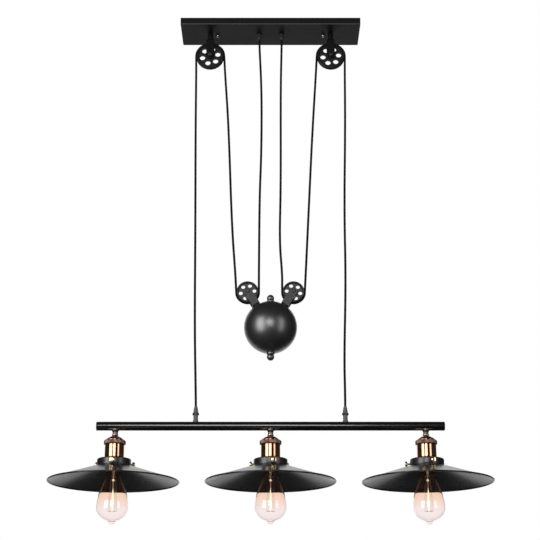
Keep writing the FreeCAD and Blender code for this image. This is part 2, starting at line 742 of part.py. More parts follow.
def drop_nipple():
    """The flared nipple that hangs a socket from the bar, with its wire bore."""
    flare_foot = BAR_UNDER_Z - NIPPLE_FLARE_HEIGHT
    body = turned(
        [
            (0, BAR_Z),
            (NIPPLE_FLARE_R, BAR_Z),
            (NIPPLE_FLARE_R, BAR_UNDER_Z),
            (NIPPLE_R, flare_foot),
            (NIPPLE_R, CAP_TOP_Z),
            (NIPPLE_THREAD_R, CAP_TOP_Z),
            (NIPPLE_THREAD_R, CAP_TOP_Z - NIPPLE_THREAD_DOWN),
            (0, CAP_TOP_Z - NIPPLE_THREAD_DOWN),
        ]
    )
    body = body.cut(along_bar(BAR_R, BAR_LENGTH))
    body = body.fuse(cylinder(NIPPLE_SPIGOT_R, BAR_UNDER_Z, NIPPLE_TOP_Z))
    return body.cut(cylinder(NIPPLE_BORE_R, CAP_TOP_Z - 2 * NIPPLE_THREAD_DOWN, BAR_Z))


def socket_cap():
    """The spun dome on the nipple."""
    hole = NIPPLE_THREAD_R + RUNNING
    bottom, shoulder_z = RING_TOP_Z, CAP_TOP_Z - CAP_SHOULDER_DOWN
    outer = [(CAP_NECK_R, CAP_TOP_Z), (CAP_SHOULDER_R, shoulder_z), (CAP_R, bottom)]
    inner = [
        (CAP_NECK_R - CAP_WALL / 2, CAP_TOP_Z - CAP_WALL),
        (CAP_SHOULDER_R - CAP_WALL, shoulder_z - CAP_WALL),
        (CAP_R - CAP_WALL, bottom),
    ]
    return turned(
        [
            line((hole, CAP_TOP_Z), outer[0]),
            arc(*outer),
            line(outer[2], inner[2]),
            arc(*reversed(inner)),
            line(inner[0], (hole, CAP_TOP_Z - CAP_WALL)),
            line((hole, CAP_TOP_Z - CAP_WALL), (hole, CAP_TOP_Z)),
        ]
    )


def socket_ring():
    """The ring between the dome and the shell."""
    bore = SHELL_THREAD_R + RUNNING
    return turned(
        [
            (bore, RING_TOP_Z),
            (RING_R - RING_EDGE, RING_TOP_Z),
            (RING_R, RING_TOP_Z - RING_EDGE),
            (RING_R, RING_BOTTOM_Z + RING_EDGE),
            (RING_R - RING_EDGE, RING_BOTTOM_Z),
            (bore, RING_BOTTOM_Z),
        ]
    )


def socket_shell():
    """The polished barrel: a thread above, a flange below that carries the collar."""
    bore = SHELL_R - SHELL_WALL
    return turned(
        [
            (bore, RING_TOP_Z - RING_EDGE),
            (SHELL_THREAD_R, RING_TOP_Z - RING_EDGE),
            (SHELL_THREAD_R, RING_BOTTOM_Z),
            (SHELL_R, RING_BOTTOM_Z),
            (SHELL_R, FLANGE_TOP_Z),
            (SHELL_FLANGE_R, FLANGE_TOP_Z),
            (SHELL_FLANGE_R, SHELL_FOOT_Z),
            (bore, SHELL_FOOT_Z),
        ]
    )


def socket_core():
    """The insulating body, with the bore that the bulb's base screws into."""
    body = cylinder(SHELL_R - SHELL_WALL - SEAT, CORE_FOOT_Z, CORE_TOP_Z)
    return body.cut(cylinder(BASE_R + RUNNING, CORE_FOOT_Z - SEAT, CONTACT_Z))


def socket_contact():
    return cylinder(CONTACT_R, CONTACT_Z - CONTACT_THICKNESS, CONTACT_Z)


def screw_ring(name, shape):
    """One shape at each thumb screw of a lamp: made pointing to the front."""
    x = LAMPS[name] * LAMP_SPACING
    front = SCREW_TURN[name]
    turns = [front + FULL_TURN * i / SCREW_COUNT for i in range(SCREW_COUNT)]
    return [moved(turned_by(shape, turn), x) for turn in turns]


def shade_collar(name):
    """The inverted cup that holds the shade's neck."""
    cup = cylinder(COLLAR_R, COLLAR_FOOT_Z, COLLAR_TOP_Z)
    top = [e for e in cup.Edges if e.Closed and e.Vertexes[0].Z > COLLAR_TOP_Z - SEAT]
    cup = cup.makeFillet(COLLAR_EDGE_R, top)
    inner = cylinder(COLLAR_R - COLLAR_WALL, COLLAR_FOOT_Z - SEAT, FLANGE_TOP_Z)
    edge = [e for e in inner.Edges if e.Closed and e.Vertexes[0].Z > FLANGE_TOP_Z - SEAT]
    inner = inner.makeFillet(COLLAR_EDGE_R - COLLAR_WALL, edge)
    cup = cup.cut(inner).cut(cylinder(SHELL_R + SEAT, FLANGE_TOP_Z - SEAT, COLLAR_TOP_Z + SEAT))
    cup = moved(cup, LAMPS[name] * LAMP_SPACING)
    hole = across(SCREW_R + SEAT, -COLLAR_R - SEAT, -SHADE_NECK_R, 0, SCREW_Z)
    for cut in screw_ring(name, hole):
        cup = cup.cut(cut)
    return cup


def thumb_screw():
    """A screw that pinches the shade's neck, its round head out at the front."""
    head = across(SCREW_HEAD_R, -SCREW_HEAD_TO, -SCREW_HEAD_FROM, 0, SCREW_Z)
    head = head.makeFillet(SCREW_EDGE, [e for e in head.Edges if e.Closed])
    shank = across(SCREW_R, -SCREW_HEAD_FROM, -SHADE_NECK_R - RUNNING, 0, SCREW_Z)
    return head.fuse(shank)


# ---------------------------------------------------------------- shades and bulbs


def shade():
    """A shallow spun cone with a neck for the collar and a rolled rim."""
    neck_top = NECK_TOP_Z
    top, under = COLLAR_FOOT_Z, COLLAR_FOOT_Z - SHADE_SHEET
    foot = top - SHADE_FALL
    sheet = turned(
        [
            (SHADE_NECK_R - SHADE_SHEET, neck_top),
            (SHADE_NECK_R + SHADE_LIP, neck_top),
            (SHADE_NECK_R + SHADE_LIP, neck_top - SHADE_SHEET),
            (SHADE_NECK_R, neck_top - SHADE_SHEET),
            (SHADE_NECK_R, top),
            (SHADE_FLAT_R, top),
            (ROLL_R, foot),
            (ROLL_R, foot - SHADE_SHEET),
            (SHADE_FLAT_R, under),
            (SHADE_NECK_R - SHADE_SHEET, under),
        ]
    )
    roll = Part.makeTorus(ROLL_R, RIM_ROLL_R, Vector(0, 0, ROLL_Z), UP)
    return sheet.fuse(roll)


def glass_body(inset, neck_r, top_z):
    """The envelope taken in by inset, as a solid with its neck carried up to top_z."""
    foot, widest_z = BASE_FOOT_Z - inset, BASE_FOOT_Z - GLASS_WIDEST
    widest, bowl = GLASS_R - inset, GLASS_BOWL - inset
    nub_r = GLASS_NUB_R - inset
    down = Vector(0, 0, -1)
    inward = Vector(-1, 0, 0)

    def on_bowl(r):
        return r, widest_z - bowl * math.sqrt(1 - (r / widest) ** 2)

    neck, belly = (GLASS_NECK_R - inset, foot), (widest, widest_z)
    tip = (0, BASE_FOOT_Z - GLASS_LENGTH + inset)
    nub = on_bowl(nub_r)
    waist = (NUB_WAIST * nub_r, nub[1] + NUB_WAIST * (tip[1] - nub[1]))
    flank = curve([neck, (GLASS_FLANK_R - inset, BASE_FOOT_Z - GLASS_FLANK), belly], down, down)
    slope = Vector(-widest * math.sqrt(widest**2 - nub_r**2), 0, -bowl * nub_r)
    round_foot = curve([belly, on_bowl(BOWL_MIDDLE * widest), nub], down, slope)
    point = curve([nub, waist, tip], slope, inward)
    body = turned([line((0, foot), neck), flank, round_foot, point, line(tip, (0, foot))])
    return body.fuse(cylinder(neck_r, foot, top_z))


def bulb_glass():
    top = BASE_FOOT_Z + GLASS_NECK_UP
    neck_r = BASE_R - BASE_WALL - SEAT
    outer = glass_body(0, neck_r, top)
    inner = glass_body(GLASS_WALL, neck_r - GLASS_WALL, top + SEAT)
    return outer.cut(inner)


def bulb_base():
    """The screw base: a thin cup, coned to its contact."""
    cone_z = BASE_TOP_Z - BASE_CONE
    inside = BASE_R - BASE_WALL
    return turned(
        [
            (0, BASE_TOP_Z),
            (BASE_TIP_R, BASE_TOP_Z),
            (BASE_R, cone_z),
            (BASE_R, BASE_FOOT_Z + SEAT),
            (inside, BASE_FOOT_Z + SEAT),
            (inside, cone_z - BASE_WALL),
            (BASE_TIP_R, BASE_TOP_Z - 2 * BASE_WALL),
            (0, BASE_TOP_Z - 2 * BASE_WALL),
        ]
    )


def bulb_mount():
    """The glass stem in the neck, and the strands of the filament round it."""
    neck_r = BASE_R - BASE_WALL - SEAT - GLASS_WALL - RUNNING
    top = BASE_FOOT_Z + GLASS_NECK_UP
    flare = cylinder(neck_r, top - STEM_FLARE_HEIGHT, top)
    stem = flare.fuse(cylinder(STEM_TUBE_R, top - STEM_LENGTH, top))
    strands = []
    for i in range(FILAMENT_STRANDS):
        a = FULL_TURN * (i + 0.5) / FILAMENT_STRANDS
        start = on_circle(FILAMENT_SPREAD / 2, a, top - STEM_FLARE_HEIGHT)
        end = on_circle(FILAMENT_SPREAD, a, BASE_FOOT_Z - FILAMENT_DOWN)
        strand = Part.makeCylinder(FILAMENT_R, (end - start).Length, start, end - start)
        strands.append(strand.cut(flare))
    return [stem] + strands


# ---------------------------------------------------------------- the whole


def save_canopy():
    save("mounting_bracket", mounting_bracket())
    save("canopy_shell", canopy_shell())
    stud, nut = canopy_stud()
    save("canopy_studs", *both(stud, STUD_X), *both(nut, STUD_X))
    save("canopy_cap_nuts", *both(canopy_cap_nut(), STUD_X))
    save("terminal_block", terminal_block())
    save("canopy_cord_grips", *both(canopy_cord_grip(), GRIP_X))
    nuts = both(lock_nut(GRIP_THREAD_R), GRIP_X) + both(lock_nut(STEM_SPIGOT_R), FORK_X)
    save("canopy_lock_nuts", *nuts)
    save("fork_stems", *both(fork_stem(), FORK_X))
    axles = [
        piece
        for way in SIDES.values()
        for piece in axle(UPPER_AXLE_R, FORK_OUT, way * FORK_X, UPPER_AXLE_Z)
    ]
    save("upper_axles", *axles)
    for name, way in SIDES.items():
        save(name + "_fork", moved(fork(), way * FORK_X))
        save(name + "_upper_pulley", upper_pulley(way))


def save_counterweight():
    save("ball_upper_half", ball_half(1))
    save("ball_lower_half", ball_half(-1))
    save("ball_ballast", ball_ballast())
    save("ball_rod", cylinder(ROD_R, BALL_Z - ROD_OUT, BALL_Z + ROD_OUT))
    save("top_finial", finial(1))
    save("bottom_finial", finial(-1))
    save("yoke_bolts", *[leaned(yoke_bolt(), way) for way in SIDES.values()])
    axles = [
        piece
        for way in SIDES.values()
        for piece in axle(LOWER_AXLE_R, YOKE_OUT, way * LOWER_AXLE_X, LOWER_AXLE_Z)
    ]
    save("lower_axles", *axles)
    for name, way in SIDES.items():
        save(name + "_yoke", leaned(yoke(), way))
        save(name + "_lower_pulley", lower_pulley(way))


def save_cords():
    for name, way in SIDES.items():
        for piece, shape in cord_pieces(way).items():
            save(name + "_" + piece, shape)


def save_bar():
    save("bar_tube", bar_tube())
    save("bar_end_caps", *[bar_end_cap(way) for way in SIDES.values()])
    save("bar_cord_grips", *both(bar_cord_grip(), BAR_GRIP_X))
    save("bar_lead", bar_lead())
    save("drop_nipples", *at_lamps(drop_nipple()))
    save("socket_caps", *at_lamps(socket_cap()))
    save("socket_rings", *at_lamps(socket_ring()))
    save("socket_shells", *at_lamps(socket_shell()))
    save("socket_cores", *at_lamps(socket_core()))
    save("socket_contacts", *at_lamps(socket_contact()))
    save("shade_collars", *[shade_collar(name) for name in LAMPS])
    save("thumb_screws", *[s for name in LAMPS for s in screw_ring(name, thumb_screw())])


def save_lamps():
    for name, place in LAMPS.items():
        x = place * LAMP_SPACING
        save(name + "_shade", moved(shade(), x))
        save(name + "_bulb_glass", moved(bulb_glass(), x))
        save(name + "_bulb_base", moved(bulb_base(), x))
        save(name + "_bulb_filament", *[moved(s, x) for s in bulb_mount()])


os.makedirs("parts", exist_ok=True)
save_canopy()
save_counterweight()
save_cords()
save_bar()
save_lamps()
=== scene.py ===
import math

import bmesh
import bpy
from bpy.props import FloatProperty, FloatVectorProperty, IntProperty, PointerProperty
from mathutils import Matrix, Vector


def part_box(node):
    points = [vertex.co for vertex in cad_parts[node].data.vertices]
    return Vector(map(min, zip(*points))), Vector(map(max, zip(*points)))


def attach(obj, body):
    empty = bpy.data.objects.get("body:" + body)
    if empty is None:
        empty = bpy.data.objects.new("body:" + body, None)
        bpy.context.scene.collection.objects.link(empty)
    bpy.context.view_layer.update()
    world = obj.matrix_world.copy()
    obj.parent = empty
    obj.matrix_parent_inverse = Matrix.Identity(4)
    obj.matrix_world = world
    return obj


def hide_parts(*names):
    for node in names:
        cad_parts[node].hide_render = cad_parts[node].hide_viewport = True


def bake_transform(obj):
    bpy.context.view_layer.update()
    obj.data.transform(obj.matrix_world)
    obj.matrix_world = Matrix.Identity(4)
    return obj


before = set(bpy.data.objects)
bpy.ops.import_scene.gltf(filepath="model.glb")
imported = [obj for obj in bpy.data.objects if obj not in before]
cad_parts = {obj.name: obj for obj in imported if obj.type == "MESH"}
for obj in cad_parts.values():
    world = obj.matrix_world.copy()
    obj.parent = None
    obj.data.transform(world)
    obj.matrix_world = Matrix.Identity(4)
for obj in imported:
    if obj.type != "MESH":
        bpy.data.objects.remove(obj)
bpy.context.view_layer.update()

bl_info = {
    "name": "Rise and Fall Pendant",
    "version": (1, 0, 0),
    "blender": (4, 5, 0),
    "location": "View3D > Sidebar > Pendant",
    "description": "Dresses the packed pendant: cords, bar grips, lamps, bulbs and all finishes",
    "category": "Object",
}

# Lengths in this file are millimetres and become metres through MM.
MM = 0.001
TINY = 1e-6
FULL_TURN = 2 * math.pi
SIDES = {"left": -1, "right": 1}
LAMPS = {"left": -1, "centre": 0, "right": 1}

CANOPY = "ceiling_mount"
WEIGHT = "counterweight"
BAR = "lamp_bar"


def middle_of(node):
    low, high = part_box(node)
    return (Vector(low) + Vector(high)) / 2


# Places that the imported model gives.
UPPER_WHEEL = {side: middle_of(side + "_upper_pulley") for side in SIDES}
LOWER_WHEEL = {side: middle_of(side + "_lower_pulley") for side in SIDES}
LAMP_SPACING = (middle_of("right_shade").x - middle_of("left_shade").x) / 2


# ------------------------------------------------------------------ settings


class CordSettings(bpy.types.PropertyGroup):
    thickness: FloatProperty(
        name="Thickness", description="Diameter of the cord", default=0.0048, unit="LENGTH"
    )
    sides: IntProperty(name="Sides", description="Facets round the cord", default=16)


class LampSettings(bpy.types.PropertyGroup):
    teeth: IntProperty(name="Knurling", description="Teeth round a socket ring", default=84)
    strands: IntProperty(name="Strands", description="Filament strands in a bulb", default=10)


class FinishSettings(bpy.types.PropertyGroup):
    black: FloatVectorProperty(
        name="Black", description="Powder coat", default=(0.0065, 0.0065, 0.007), subtype="COLOR"
    )
    copper: FloatVectorProperty(
        name="Copper", description="Polished sockets", default=(0.62, 0.305, 0.15), subtype="COLOR"
    )
    bronze: FloatVectorProperty(
        name="Bronze", description="Knurled rings", default=(0.20, 0.125, 0.105), subtype="COLOR"
    )
    brass: FloatVectorProperty(
        name="Brass", description="Thumb screws", default=(0.86, 0.68, 0.42), subtype="COLOR"
    )
    amber: FloatVectorProperty(
        name="Amber",
        description="Glass near the socket",
        default=(1.0, 0.81, 0.69),
        subtype="COLOR",
    )
    pale: FloatVectorProperty(
        name="Pale", description="Glass near its tip", default=(1.0, 0.94, 0.935), subtype="COLOR"
    )


class StageSettings(bpy.types.PropertyGroup):
    floor: FloatProperty(
        name="Floor", description="Height of the floor", default=-2.4, unit="LENGTH"
    )
    window: FloatProperty(
        name="Windows", description="Power of the brightest window per square metre", default=13.5
    )
    ambient: FloatProperty(
        name="Ambient", description="Strength of the light all round", default=0.28
    )


# ------------------------------------------------------------------ shader helpers


class Value:
    """An output socket. Arithmetic with it adds Math nodes to its tree."""

    def __init__(self, graph, socket):
        self.graph = graph
        self.socket = socket

    def maths(self, operation, first, second):
        return self.graph.add("ShaderNodeMath", {"operation": operation}, {0: first, 1: second})

    def __add__(self, other):
        return self.maths("ADD", self, other)

    def __sub__(self, other):
        return self.maths("SUBTRACT", self, other)

    def __rsub__(self, other):
        return self.maths("SUBTRACT", other, self)

    def __mul__(self, other):
        return self.maths("MULTIPLY", self, other)

    __rmul__ = __mul__


class Graph:
    """A node tree that is filled by add()."""

    def __init__(self, tree):
        self.tree = tree
        tree.nodes.clear()

    def add(self, kind, settings=None, inputs=None, output=0):
        """Adds a node, sets its settings and then its sockets, and returns one output."""
        node = self.tree.nodes.new(kind)
        for key, value in (settings or {}).items():
            if key == "stops":
                fill_ramp(node.color_ramp, value)
            else:
                setattr(node, key, value)
        for key, value in (inputs or {}).items():
            if isinstance(value, Value):
                self.tree.links.new(value.socket, node.inputs[key])
            else:
                node.inputs[key].default_value = value
        return Value(self, node.outputs[output]) if node.outputs else None

    def place(self):
        """Where a point lies on the piece at rest, in metres."""
        return self.add("ShaderNodeTexCoord", output="Object")

    def scaled(self, vector, scale):
        """A vector times another, part by part."""
        return self.add("ShaderNodeVectorMath", {"operation": "MULTIPLY"}, {0: vector, 1: scale})

    def sine(self, value):
        return self.add("ShaderNodeMath", {"operation": "SINE"}, {0: value})

    def noise(self, scale, detail=3.0, vector=None):
        inputs = {
            "Vector": vector or self.place(),
            "Scale": scale,
            "Detail": detail,
            "Roughness": 0.55,
        }
        return self.add("ShaderNodeTexNoise", {}, inputs, "Fac")

    def part(self, vector, axis):
        return self.add("ShaderNodeSeparateXYZ", {}, {0: vector}, axis)

    def remap(self, value, low, high, to_low, to_high):
        inputs = {0: value, 1: low, 2: high, 3: to_low, 4: to_high}
        return self.add("ShaderNodeMapRange", {"clamp": True}, inputs)

    def blend_colour(self, factor, first, second):
        inputs = {"Factor": factor, 6: to_rgba(first), 7: to_rgba(second)}
        return self.add("ShaderNodeMix", {"data_type": "RGBA"}, inputs, 2)

    def seen_directly(self):
        """More than 0 where the eye, a reflection or a look through glass meets it."""
        path = "ShaderNodeLightPath"
        eye = self.add(path, output="Is Camera Ray") + self.add(path, output="Is Glossy Ray")
        return eye + self.add(path, output="Is Transmission Ray")

    def bump(self, height, distance, strength):
        inputs = {"Height": height, "Distance": distance, "Strength": strength}
        return self.add("ShaderNodeBump", {}, inputs)

    def finish(self, sockets):
        shader = self.add("ShaderNodeBsdfPrincipled", {}, sockets)
        self.add("ShaderNodeOutputMaterial", {}, {"Surface": shader})


def fill_ramp(ramp, stops):
    while len(ramp.elements) > 1:
        ramp.elements.remove(ramp.elements[-1])
    for i, (place, colour) in enumerate(stops):
        element = ramp.elements[0] if i == 0 else ramp.elements.new(place)
        element.position = place
        element.color = to_rgba(colour)


def to_rgba(colour):
    if isinstance(colour, Value):
        return colour
    return (*tuple(colour)[:3], 1.0)


def new_finish(name):
    material = bpy.data.materials.new(name)
    material.use_nodes = True
    return material, Graph(material.node_tree)


# ------------------------------------------------------------------ finishes


def toned(colour, share):
    return tuple(share * c for c in colour)


# Noise scales, in cycles a metre.
PEEL, PAINT_CLOUD = 900.0, 14.0
TARNISH, GRIME, GLAZE, SPARKS = 38.0, 30.0, 60.0, 700.0
TURNING_MARKS = (60.0, 60.0, 900.0)  # along X, Y and Z
PEEL_HEIGHT = 0.00004  # metres

# The cords' weave: threads round a cord, and their turn along it in radians a metre.
JACKET_THREADS, JACKET_TURN = 14.0, 5200.0

# Places on the part, in metres: the span over which a colour fades.
# The front face and lower fold spans place the canopy's painted light.
FRONT_FACE = (-0.0468, -0.0452)
LOWER_FOLD = (-0.0155, -0.0128)
GLASS_TINT = (-1.068, -1.030)
# The stem span places the painted highlight on the bulb's stem.
STEM_HIGHLIGHT_SPAN = (-1.068, -0.980)


def painted_fold_light(g, paint, colour):
    """Painted light on the canopy: its front face painted a little paler as if lit more, and a
    painted highlight along its lower fold.
    """
    place = g.place()
    front = g.remap(g.part(place, "Y"), *FRONT_FACE, 1.0, 0.0)
    fold_highlight = g.remap(g.part(place, "Z"), *LOWER_FOLD, 1.0, 0.0) * front
    face = g.blend_colour(front, paint, toned(colour, 1.55))
    return g.blend_colour(fold_highlight, face, toned(colour, 12.0))


def powder_coat(
    name, colour, rough, grain, specular, gloss=0.0, gloss_rough=0.3, gloss_ior=1.8, with_painted_light=False
):
    """Black paint with a fine orange peel and slightly uneven gloss, and on the canopy painted
    light on its front face and fold.
    """
    material, g = new_finish(name)
    peel = g.noise(PEEL, 2.0)
    cloud = g.noise(PAINT_CLOUD, 4.0)
    paint = g.blend_colour(cloud, toned(colour, 0.82), toned(colour, 1.25))
    g.finish(
        {
            "Base Color": painted_fold_light(g, paint, colour) if with_painted_light else paint,
            "Roughness": g.remap(cloud, 0.3, 0.7, rough - 0.04, rough + 0.05),
            "Normal": g.bump(peel, PEEL_HEIGHT * grain, 0.5),
            "Specular IOR Level": specular,
            "Coat Weight": gloss,
            "Coat Roughness": gloss_rough,
            "Coat IOR": gloss_ior,
        }
    )
    return material


def polished_metal(name, colour, rough, tint=0.85, lacquer=0.0):
    """Lacquered metal with faint turning marks and soft tarnish."""
    material, g = new_finish(name)
    marks = g.noise(1.0, 2.0, vector=g.scaled(g.place(), TURNING_MARKS))
    tarnish = g.remap(g.noise(TARNISH, 3.0), 0.35, 0.7, 0.0, 1.0)
    g.finish(
        {
            "Base Color": g.blend_colour(tarnish, colour, toned(colour, tint)),
            "Metallic": 1.0,
            "Roughness": g.remap(marks, 0.3, 0.7, rough * 0.8, rough * 1.25),
            "Normal": g.bump(marks, 0.00001, 0.25),
            "Coat Weight": lacquer,
            "Coat Roughness": 0.12,
            "Coat IOR": 1.6,
        }
    )
    return material


def dull_metal(name, colour, rough, grain=500.0):
    """Cast, plated or blackened metal with a fine speckle and darker clouds."""
    material, g = new_finish(name)
    speckle = g.noise(grain, 3.0)
    cloud = g.noise(GRIME, 3.0)
    g.finish(
        {
            "Base Color": g.blend_colour(cloud, toned(colour, 0.6), toned(colour, 1.25)),
            "Metallic": 0.9,
            "Roughness": g.remap(speckle, 0.3, 0.7, rough - 0.08, rough + 0.1),
            "Normal": g.bump(speckle, 0.00005, 0.5),
        }
    )
    return material


def braided_jacket(name):
    """A tightly woven black sleeve: two sets of threads that cross round the cord."""
    material, g = new_finish(name)
    uv = g.add("ShaderNodeUVMap", {"uv_map": "Along"}, {})
    around = g.part(uv, "X") * (JACKET_THREADS * FULL_TURN)
    along = g.part(uv, "Y") * JACKET_TURN
    weave = g.sine(around + along) * g.sine(around - along)
    mask = g.remap(weave, -1.0, 1.0, 0.0, 1.0)
    g.finish(
        {
            "Base Color": g.blend_colour(mask, (0.004, 0.004, 0.0045), (0.006, 0.006, 0.0065)),
            "Roughness": g.remap(mask, 0.0, 1.0, 0.72, 0.62),
            "Normal": g.bump(mask, 0.00005, 0.15),
            "Specular IOR Level": 0.12,
        }
    )
    return material


def moulded_plastic(name, colour, rough):
    """Plastic with the fine sparked texture of its mould."""
    material, g = new_finish(name)
    speckle = g.noise(SPARKS, 3.0)
    g.finish(
        {
            "Base Color": g.blend_colour(speckle, toned(colour, 0.75), toned(colour, 1.3)),
            "Roughness": g.remap(speckle, 0.3, 0.7, rough - 0.05, rough + 0.08),
            "Normal": g.bump(speckle, 0.00006, 0.6),
            "Specular IOR Level": 0.4,
        }
    )
    return material


def glazed_ceramic(name):
    """Warm white porcelain under an uneven glaze."""
    material, g = new_finish(name)
    cloud = g.noise(GLAZE, 3.0)
    g.finish(
        {
            "Base Color": g.blend_colour(cloud, (0.60, 0.57, 0.51), (0.72, 0.69, 0.63)),
            "Roughness": g.remap(cloud, 0.3, 0.7, 0.15, 0.28),
            "Normal": g.bump(g.noise(300.0), 0.00003, 0.3),
        }
    )
    return material


def bulb_glass_finish(name, amber, pale, gloss):
    """Clear glass, tinted above the bulb's widest place and glossy on its outer faces."""
    material, g = new_finish(name)
    fade = g.remap(g.part(g.place(), "Z"), *GLASS_TINT, 1.0, 0.0)
    ripple = g.noise(16.0, 1.0)
    outside = 0.0
    if gloss:
        outside = gloss - gloss * g.add("ShaderNodeNewGeometry", output="Backfacing")
    g.finish(
        {
            "Base Color": g.blend_colour(fade, amber, pale),
            "Roughness": 0.0,
            "Transmission Weight": 1.0,
            "IOR": 1.12,
            "Normal": g.bump(ripple, 0.0003, 0.06),
            "Coat Weight": outside,
            "Coat Roughness": 0.03,
            "Coat IOR": 1.7,
        }
    )
    return material


def milky_glass_painted_highlight(name):
    """The cloudy stem in a bulb, with a painted highlight: it glows cream on its lower half and in
    a painted glint on its bead.
    """
    material, g = new_finish(name)
    cloud = g.noise(120.0, 2.0)
    # Painted highlight: the stem's lower part emits cream light and its bead a painted glint;
    # elsewhere it emits nothing.
    share = g.remap(g.part(g.place(), "Z"), *STEM_HIGHLIGHT_SPAN, 0.0, 1.0)
    dark, highlight_cream = (0.0, 0.0, 0.0), (0.55, 0.54, 0.42)
    stops = [(0.0, highlight_cream), (0.42, highlight_cream), (0.52, dark), (0.66, dark), (0.68, highlight_cream), (0.71, dark)]
    g.finish(
        {
            "Base Color": g.blend_colour(cloud, (0.90, 0.87, 0.77), (0.97, 0.95, 0.88)),
            "Roughness": g.remap(cloud, 0.3, 0.7, 0.1, 0.25),
            "Transmission Weight": 0.4,
            "IOR": 1.3,
            "Emission Color": g.add("ShaderNodeValToRGB", {"stops": stops}, {"Fac": share}),
            "Emission Strength": 1.0,
        }
    )
    return material


def unlit_wire(name):
    """Unlit filament wire, browned unevenly by use."""
    material, g = new_finish(name)
    fleck = g.noise(2000.0, 2.0)
    g.finish(
        {
            "Base Color": g.blend_colour(fleck, (0.30, 0.24, 0.19), (0.45, 0.38, 0.32)),
            "Metallic": 0.9,
            "Roughness": g.remap(fleck, 0.3, 0.7, 0.3, 0.5),
        }
    )
    return material


FINISH = {}


def make_finishes(look):
    """Every finish of the pendant, by the name that its pieces ask for."""
    black = tuple(look.black)
    deep, low, satin = toned(black, 0.75), toned(black, 0.3), toned(black, 2.6)
    FINISH.update(
        {
            "black": powder_coat("powder coat black", deep, 0.45, 1.0, 0.12),
            # The canopy's paint carries painted light: a paler front face and a painted highlight
            # on its fold.
            "canopy": powder_coat("canopy black", deep, 0.45, 1.0, 0.12, with_painted_light=True),
            "bar": powder_coat("bar black", low, 0.30, 0.04, 0.08, 1.0, 0.17, 1.75),
            "ball": powder_coat("ball black", black, 0.42, 0.12, 0.45, 1.0, 0.355, 2.05),
            "pulley": powder_coat("pulley black", deep, 0.5, 0.8, 0.4),
            "small pulley": powder_coat("small pulley black", deep, 0.45, 0.6, 0.4, 0.2),
            "yoke": powder_coat("yoke black", satin, 0.4, 0.8, 0.5),
            "shade": powder_coat("shade black", black, 0.24, 0.2, 0.62),
            "collar": powder_coat("collar black", black, 0.34, 0.5, 0.9),
            "gunmetal": dull_metal("blackened steel", (0.10, 0.098, 0.096), 0.3),
            "cord": braided_jacket("cord jacket"),
            "copper": polished_metal("polished copper", tuple(look.copper), 0.10, lacquer=1.0),
            "bronze": dull_metal("knurled bronze", tuple(look.bronze), 0.42),
            "brass": polished_metal("polished brass", tuple(look.brass), 0.18, lacquer=0.5),
            "nickel": polished_metal("bright nickel", (0.42, 0.41, 0.40), 0.18, tint=0.9),
            "zinc": dull_metal("zinc plate", (0.42, 0.42, 0.43), 0.32),
            "iron": dull_metal("cast iron", (0.09, 0.088, 0.085), 0.6, 300.0),
            "grip": moulded_plastic("cord grip grey", (0.085, 0.085, 0.085), 0.5),
            "plastic": moulded_plastic("black plastic", (0.018, 0.018, 0.018), 0.45),
            "ceramic": glazed_ceramic("white porcelain"),
            "glass": bulb_glass_finish("tinted bulb glass", look.amber, look.pale, 1.0),
            "lining": bulb_glass_finish("bulb glass inside", look.amber, look.pale, 0.0),
            "stem": milky_glass_painted_highlight("stem glass with painted highlight"),
            "wire": unlit_wire("filament"),
        }
    )


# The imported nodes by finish, apart from the cords, whose pieces bring their own.
CARRIED = {
    "black": ["left_fork", "right_fork", "fork_stems"],
    "canopy": ["canopy_shell"],
    "yoke": ["left_yoke", "right_yoke", "lower_axles"],
    "bar": ["bar_tube", "bar_end_caps"],
    "collar": ["shade_collars"],
    "gunmetal": ["drop_nipples", "upper_axles"],
    "ball": ["ball_upper_half", "ball_lower_half", "top_finial", "bottom_finial"],
    "pulley": ["left_upper_pulley", "right_upper_pulley"],
    "small pulley": ["left_lower_pulley", "right_lower_pulley"],
    "zinc": ["mounting_bracket", "canopy_studs", "canopy_lock_nuts", "yoke_bolts", "ball_rod"],
    "nickel": ["canopy_cap_nuts"],
    "plastic": ["terminal_block", "canopy_cord_grips", "bar_lead"],
    "grip": ["bar_cord_grips"],
    "iron": ["ball_ballast"],
    "ceramic": ["socket_cores"],
    "brass": [
        "socket_contacts",
        "thumb_screws",
        "left_bulb_base",
        "centre_bulb_base",
        "right_bulb_base",
    ],
    "copper": ["socket_caps", "socket_shells"],
    "bronze": ["socket_rings"],
    "shade": ["left_shade", "centre_shade", "right_shade"],
    "glass": ["left_bulb_glass", "centre_bulb_glass", "right_bulb_glass"],
    "wire": ["left_bulb_filament", "centre_bulb_filament", "right_bulb_filament"],
}


# ------------------------------------------------------------------ mesh helpers

LATHE_STEPS = 96
SHARP_DEGREES = 40


def link(name, data):
    thing = bpy.data.objects.new(name, data)
    bpy.context.scene.collection.objects.link(thing)
    return thing


def piece(name, bm, finish, body, nodes=(), lining=None):
    """A finished mesh as a piece of the pendant, standing for the nodes named."""
    mesh = bpy.data.meshes.new(name)
    bmesh.ops.recalc_face_normals(bm, faces=bm.faces)
    bm.to_mesh(mesh)
    bm.free()
    mesh.shade_smooth()
    mesh.set_sharp_from_angle(angle=math.radians(SHARP_DEGREES))
    mesh.materials.append(FINISH[finish])
    if lining:
        mesh.materials.append(FINISH[lining])
    thing = link(name, mesh)
    if body:
        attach(thing, body)
    if nodes:
        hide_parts(*nodes)
    return thing


